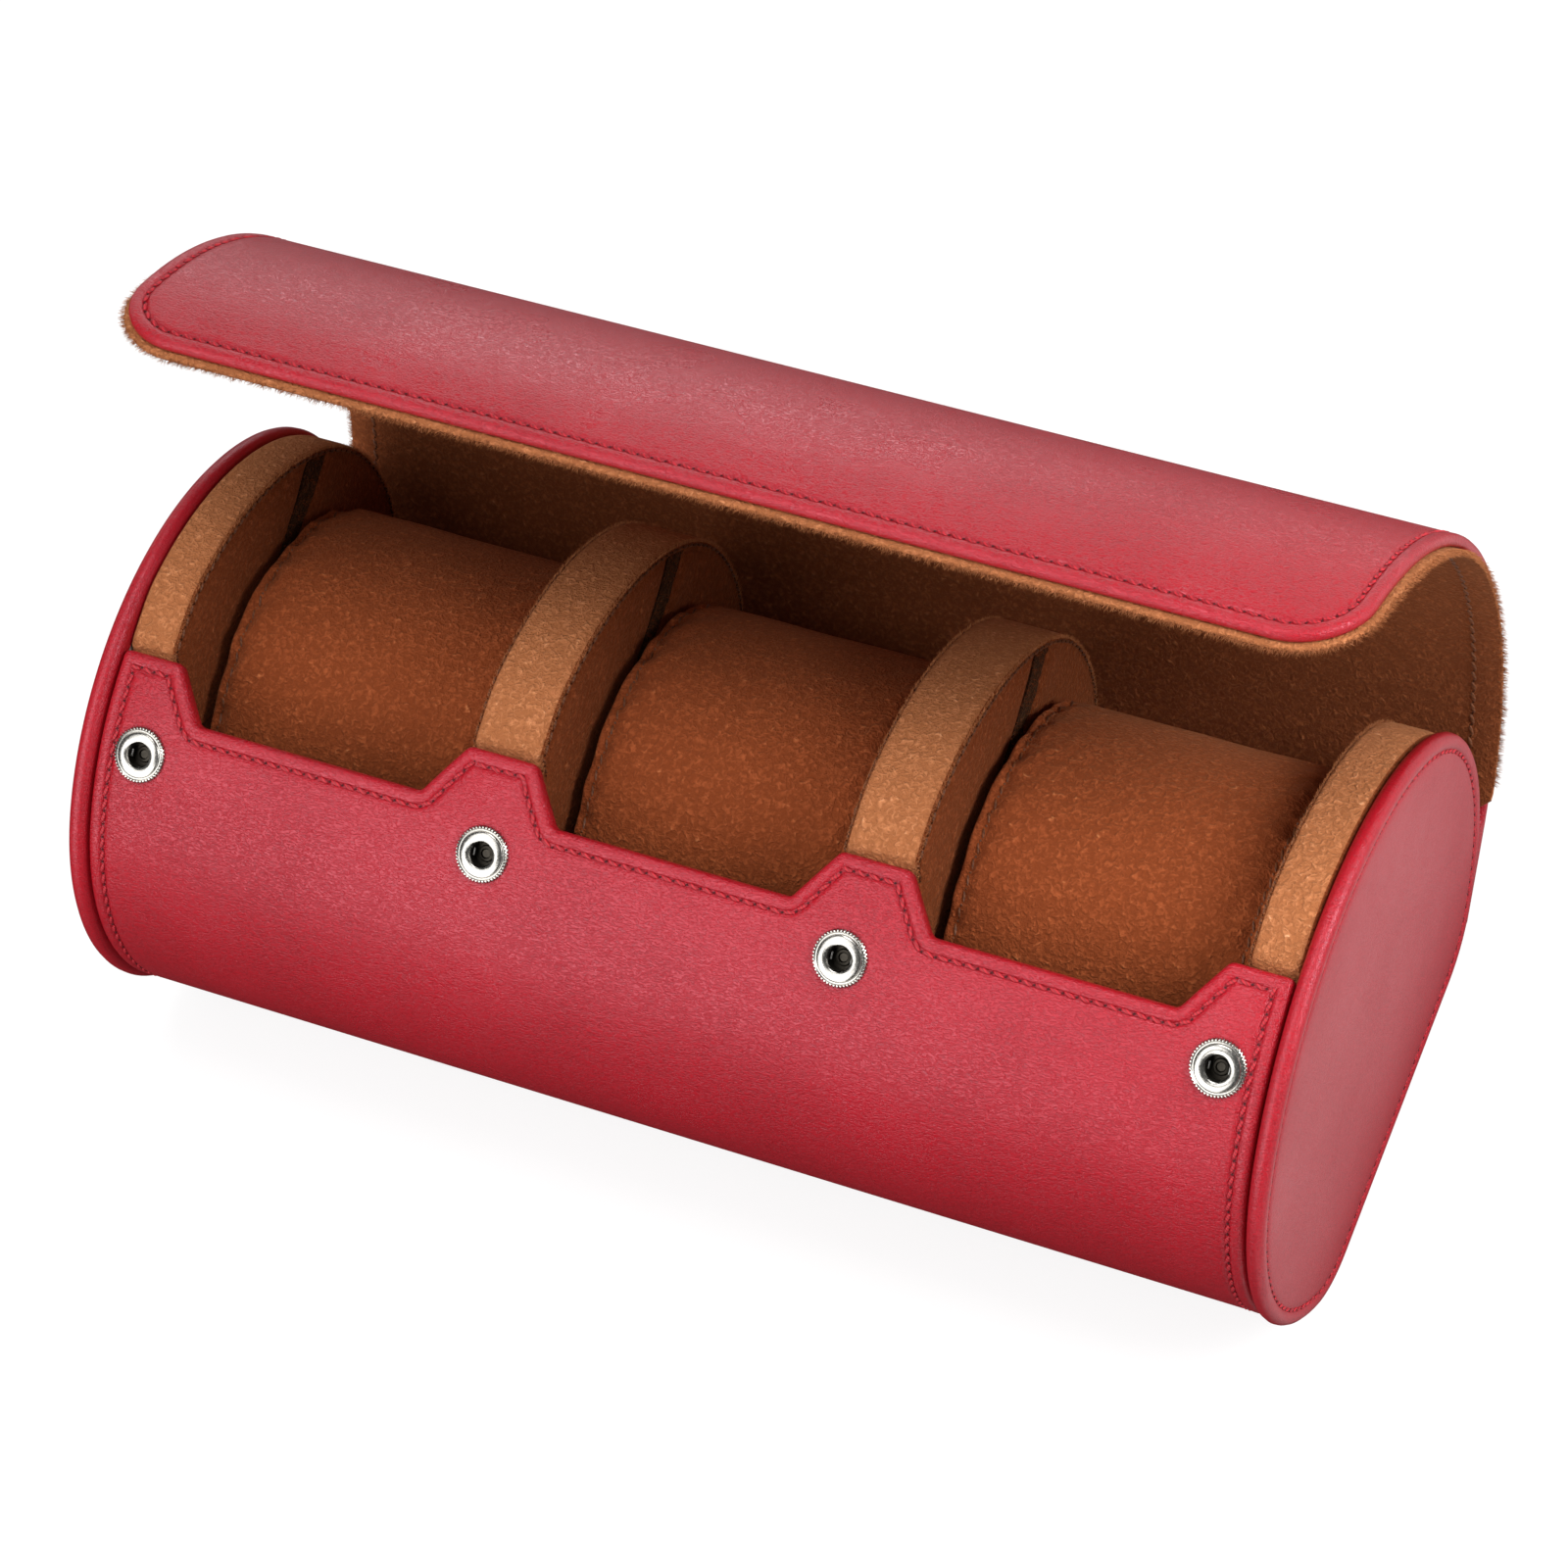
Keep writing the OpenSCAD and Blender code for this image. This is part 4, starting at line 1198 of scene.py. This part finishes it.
def turnedRings(profile, tooth=0.0):
    rings = []
    for radius, height in profile:
        ring = []
        for step in range(snapSizes["points"]):
            c, s = turn(360 * step / snapSizes["points"])
            milled = tooth if step % 4 > 1 and 4.6 < radius and height > -0.2 else 0
            ring.append(((radius - milled) * c, (radius - milled) * s, height))
        rings.append(ring)
    return rings


def setFour(name, rings, angle, place):
    # One fastener is turned, and copied to the four places along the case
    first = growSheet(name + "One", rings)
    spin = Matrix.Rotation(math.radians(angle - 90), 3, "X")
    pieces = [copyPiece(first, name, lambda co: spin @ co + Vector((x, *place)))
              for x in caseSizes["snapPlaces"]]
    bpy.data.objects.remove(first)
    choose(*pieces)
    bpy.ops.object.join()
    pieces[0].name = pieces[0].data.name = name
    return pieces[0]


def makeSockets():
    socket = setFour("snap_rings", turnedRings(snapSizes["ring"], snapSizes["tooth"]),
                     caseSizes["snapAngle"], snapPlace())
    finishPiece(socket, nickelPlate, tubeShadeBrass, angle=28)
    seats = [Vector((x, *snapPlace())) * 0.001 for x in caseSizes["snapPlaces"]]
    out = Vector((0, *turn(caseSizes["snapAngle"])))
    # Inside the tube the metal is dark: painted shade in the deep hole
    for polygon in socket.data.polygons:
        away = [polygon.center - seat for seat in seats]
        inside = min(a.length for a in away) < 0.0026 and max(a.dot(out) for a in away) < 0.0001
        polygon.material_index = 1 if inside else 0
    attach(socket, "case")
    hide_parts("snap_sockets")


def makeStuds():
    # Each lies where its socket comes when the flap is closed, turned back to the open flap
    size, flap = snapSizes, flapSizes
    place = Vector(snapPlace())
    for index, angle in enumerate(size["closing"]):
        c, s = turn(flap["hinge"] + flap["panel"] * index)
        crease = Vector(flap["centre"]) + size["creaseRadius"] * Vector((c, s))
        place = crease + Matrix.Rotation(math.radians(-angle), 2) @ (place - crease)
    high = size["liningRadius"] - (place - Vector(flap["centre"])).length
    studs = setFour("snap_stud_caps", turnedRings([(r, high + h) for r, h in size["stud"]]),
                    size["studAngle"], place)
    finishPiece(studs, nickelPlate, angle=28)
    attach(studs, "flap_edge")
    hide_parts("snap_studs")


makeSockets()
makeStuds()
print("case: snaps set")


for node, material in (("wall_lining", paintedShadeLiningSuede), ("wall_board", greyBoard),
                       ("cap_board_left", greyBoard), ("cap_board_right", greyBoard),
                       ("divider_board_left", greyBoard), ("divider_board_right", greyBoard),
                       ("snap_springs", springSteel)):
    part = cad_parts[node]
    part.data.materials.clear()
    part.data.materials.append(material)


studio = {
    "floor": "808080", "darkFloor": "2A2A2A", "glow": 0.8, "world": 0.34, "mirror": 0.12,
    # The floor's parts that glow only in the leather's reflections, a painted reflection of a lit
    # floor: (from, to) along X and along Y, in m
    "mirrorGlowRight": (0.108, 0.125), "mirrorGlowBack": (0.15, 0.6), "shine": (0.8, 2.5),
    # name: place (m), aimed at, size (m), power (W)
    "lamps": {
        "frontBox": ((-0.45, -1.05, 0.55), (0, 0, 0.05), (1.1, 0.9), 10.5),
        "topBox": ((-0.45, -0.5, 1.1), (0, 0, 0.05), (0.6, 0.6), 3.4),
        "middleBox": ((-0.1, 0.2, 1.3), (0, 0, 0.05), (0.6, 0.6), 6.5),
        "backBox": ((-0.5, 1.15, 0.14), (0, 0, 0.1), (0.4, 0.2), 0.9),
        "sideBox": ((0.45, 0.1, 0.35), (0.4, 0.1, 0), (0.3, 0.3), 3.0),
        "rightBox": ((1.1, -0.1, 0.45), (0.1, 0, 0.05), (0.4, 0.4), 1.0),
    },
}


def makeFloor():
    floor = newPiece("studio_floor", bpy.ops.mesh.primitive_plane_add, size=6,
                     location=(0, 0, 0))
    floor.location = (0, 0, 0)
    material, tree, shader = newMaterial("paintedFloor")
    rays = addNode(tree, "LightPath")
    shader.inputs["Roughness"].default_value = 0.9
    # The camera sees it near white, and it still takes the shadow. In glossy rays it is painted
    # dark, with two parts that glow, to the right and behind: painted reflections that no lamp
    # lights.
    colour = addNode(tree, "MixRGB", {"Fac": rays.outputs["Is Glossy Ray"],
                                      "Color1": hexColour(studio["floor"]),
                                      "Color2": hexColour(studio["darkFloor"])})
    tree.links.new(colour.outputs[0], shader.inputs["Base Color"])
    place = addNode(tree, "SeparateXYZ", {0: addNode(tree, "TexCoord").outputs["Object"]})
    pale = None
    for axis, part, shine in ((0, "mirrorGlowRight", studio["shine"][0]),
                              (1, "mirrorGlowBack", studio["shine"][1])):
        ramp = addNode(tree, "MapRange", {"Value": place.outputs[axis],
                                          "From Min": studio[part][0],
                                          "From Max": studio[part][1], "To Max": shine},
                       interpolation_type="SMOOTHSTEP")
        pale = addNode(tree, "Math", {0: ramp.outputs[0], 1: pale.outputs[0] if pale else 0.0},
                       operation="MAXIMUM")
    # The glow is seen only in glossy rays: painted reflection
    mirrored = addNode(tree, "Math", {0: rays.outputs["Is Glossy Ray"], 1: pale.outputs[0]},
                       operation="MULTIPLY")
    glow = addNode(tree, "Math", {0: rays.outputs["Is Camera Ray"], 1: studio["glow"],
                                  2: mirrored.outputs[0]}, operation="MULTIPLY_ADD")
    shader.inputs["Emission Color"].default_value = (1, 1, 1, 1)
    tree.links.new(glow.outputs[0], shader.inputs["Emission Strength"])
    floor.data.materials.append(material)


def makeLights():
    world = bpy.data.worlds.new("studioWorld")
    bpy.context.scene.world = world
    world.use_nodes = True
    tree = world.node_tree
    back = tree.nodes["Background"]
    rays = addNode(tree, "LightPath")
    mirrored = addNode(tree, "MapRange", {"Value": rays.outputs["Is Glossy Ray"],
                                          "To Min": studio["world"], "To Max": studio["mirror"]})
    strength = addNode(tree, "Math", {0: mirrored.outputs[0], 1: rays.outputs["Is Camera Ray"]},
                       operation="MAXIMUM")
    back.inputs["Color"].default_value = (1, 1, 1, 1)
    tree.links.new(strength.outputs[0], back.inputs["Strength"])
    for name, (place, aim, size, power) in studio["lamps"].items():
        choose()
        bpy.ops.object.light_add(type="AREA", location=place)
        lamp = bpy.context.object
        lamp.name = name
        lamp.data.shape = "RECTANGLE"
        lamp.data.size, lamp.data.size_y = size
        lamp.data.energy = power
        lamp.visible_camera = False
        lamp.rotation_euler = (Vector(aim) - Vector(place)).to_track_quat("-Z", "Y").to_euler()


# The camera that was fitted to the photo: its place in m, its axes, and its focal length
# and the photo's width in pixels
photoView = {
    "place": (0.33149, -0.33274, 0.88246), "right": (0.90425, 0.37498, -0.20426),
    "down": (0.25297, -0.85581, -0.45122), "ahead": (-0.34400, 0.35634, -0.86872),
    "focal": 5667, "pixels": 1600, "sensor": 36.0,
}


def makeCamera():
    choose()
    bpy.ops.object.camera_add()
    camera = bpy.context.object
    camera.name = "photoCamera"
    right, down, ahead = [Vector(photoView[axis]) for axis in ("right", "down", "ahead")]
    turned = Matrix((right, -down, -ahead)).transposed().to_4x4()
    camera.matrix_world = Matrix.Translation(Vector(photoView["place"])) @ turned
    camera.data.sensor_width = photoView["sensor"]
    camera.data.lens = photoView["sensor"] * photoView["focal"] / photoView["pixels"]
    camera.data.clip_start = 0.01
    bpy.context.scene.camera = camera


makeFloor()
makeLights()
makeCamera()
bpy.context.scene.view_settings.view_transform = "Standard"

print("case: done")
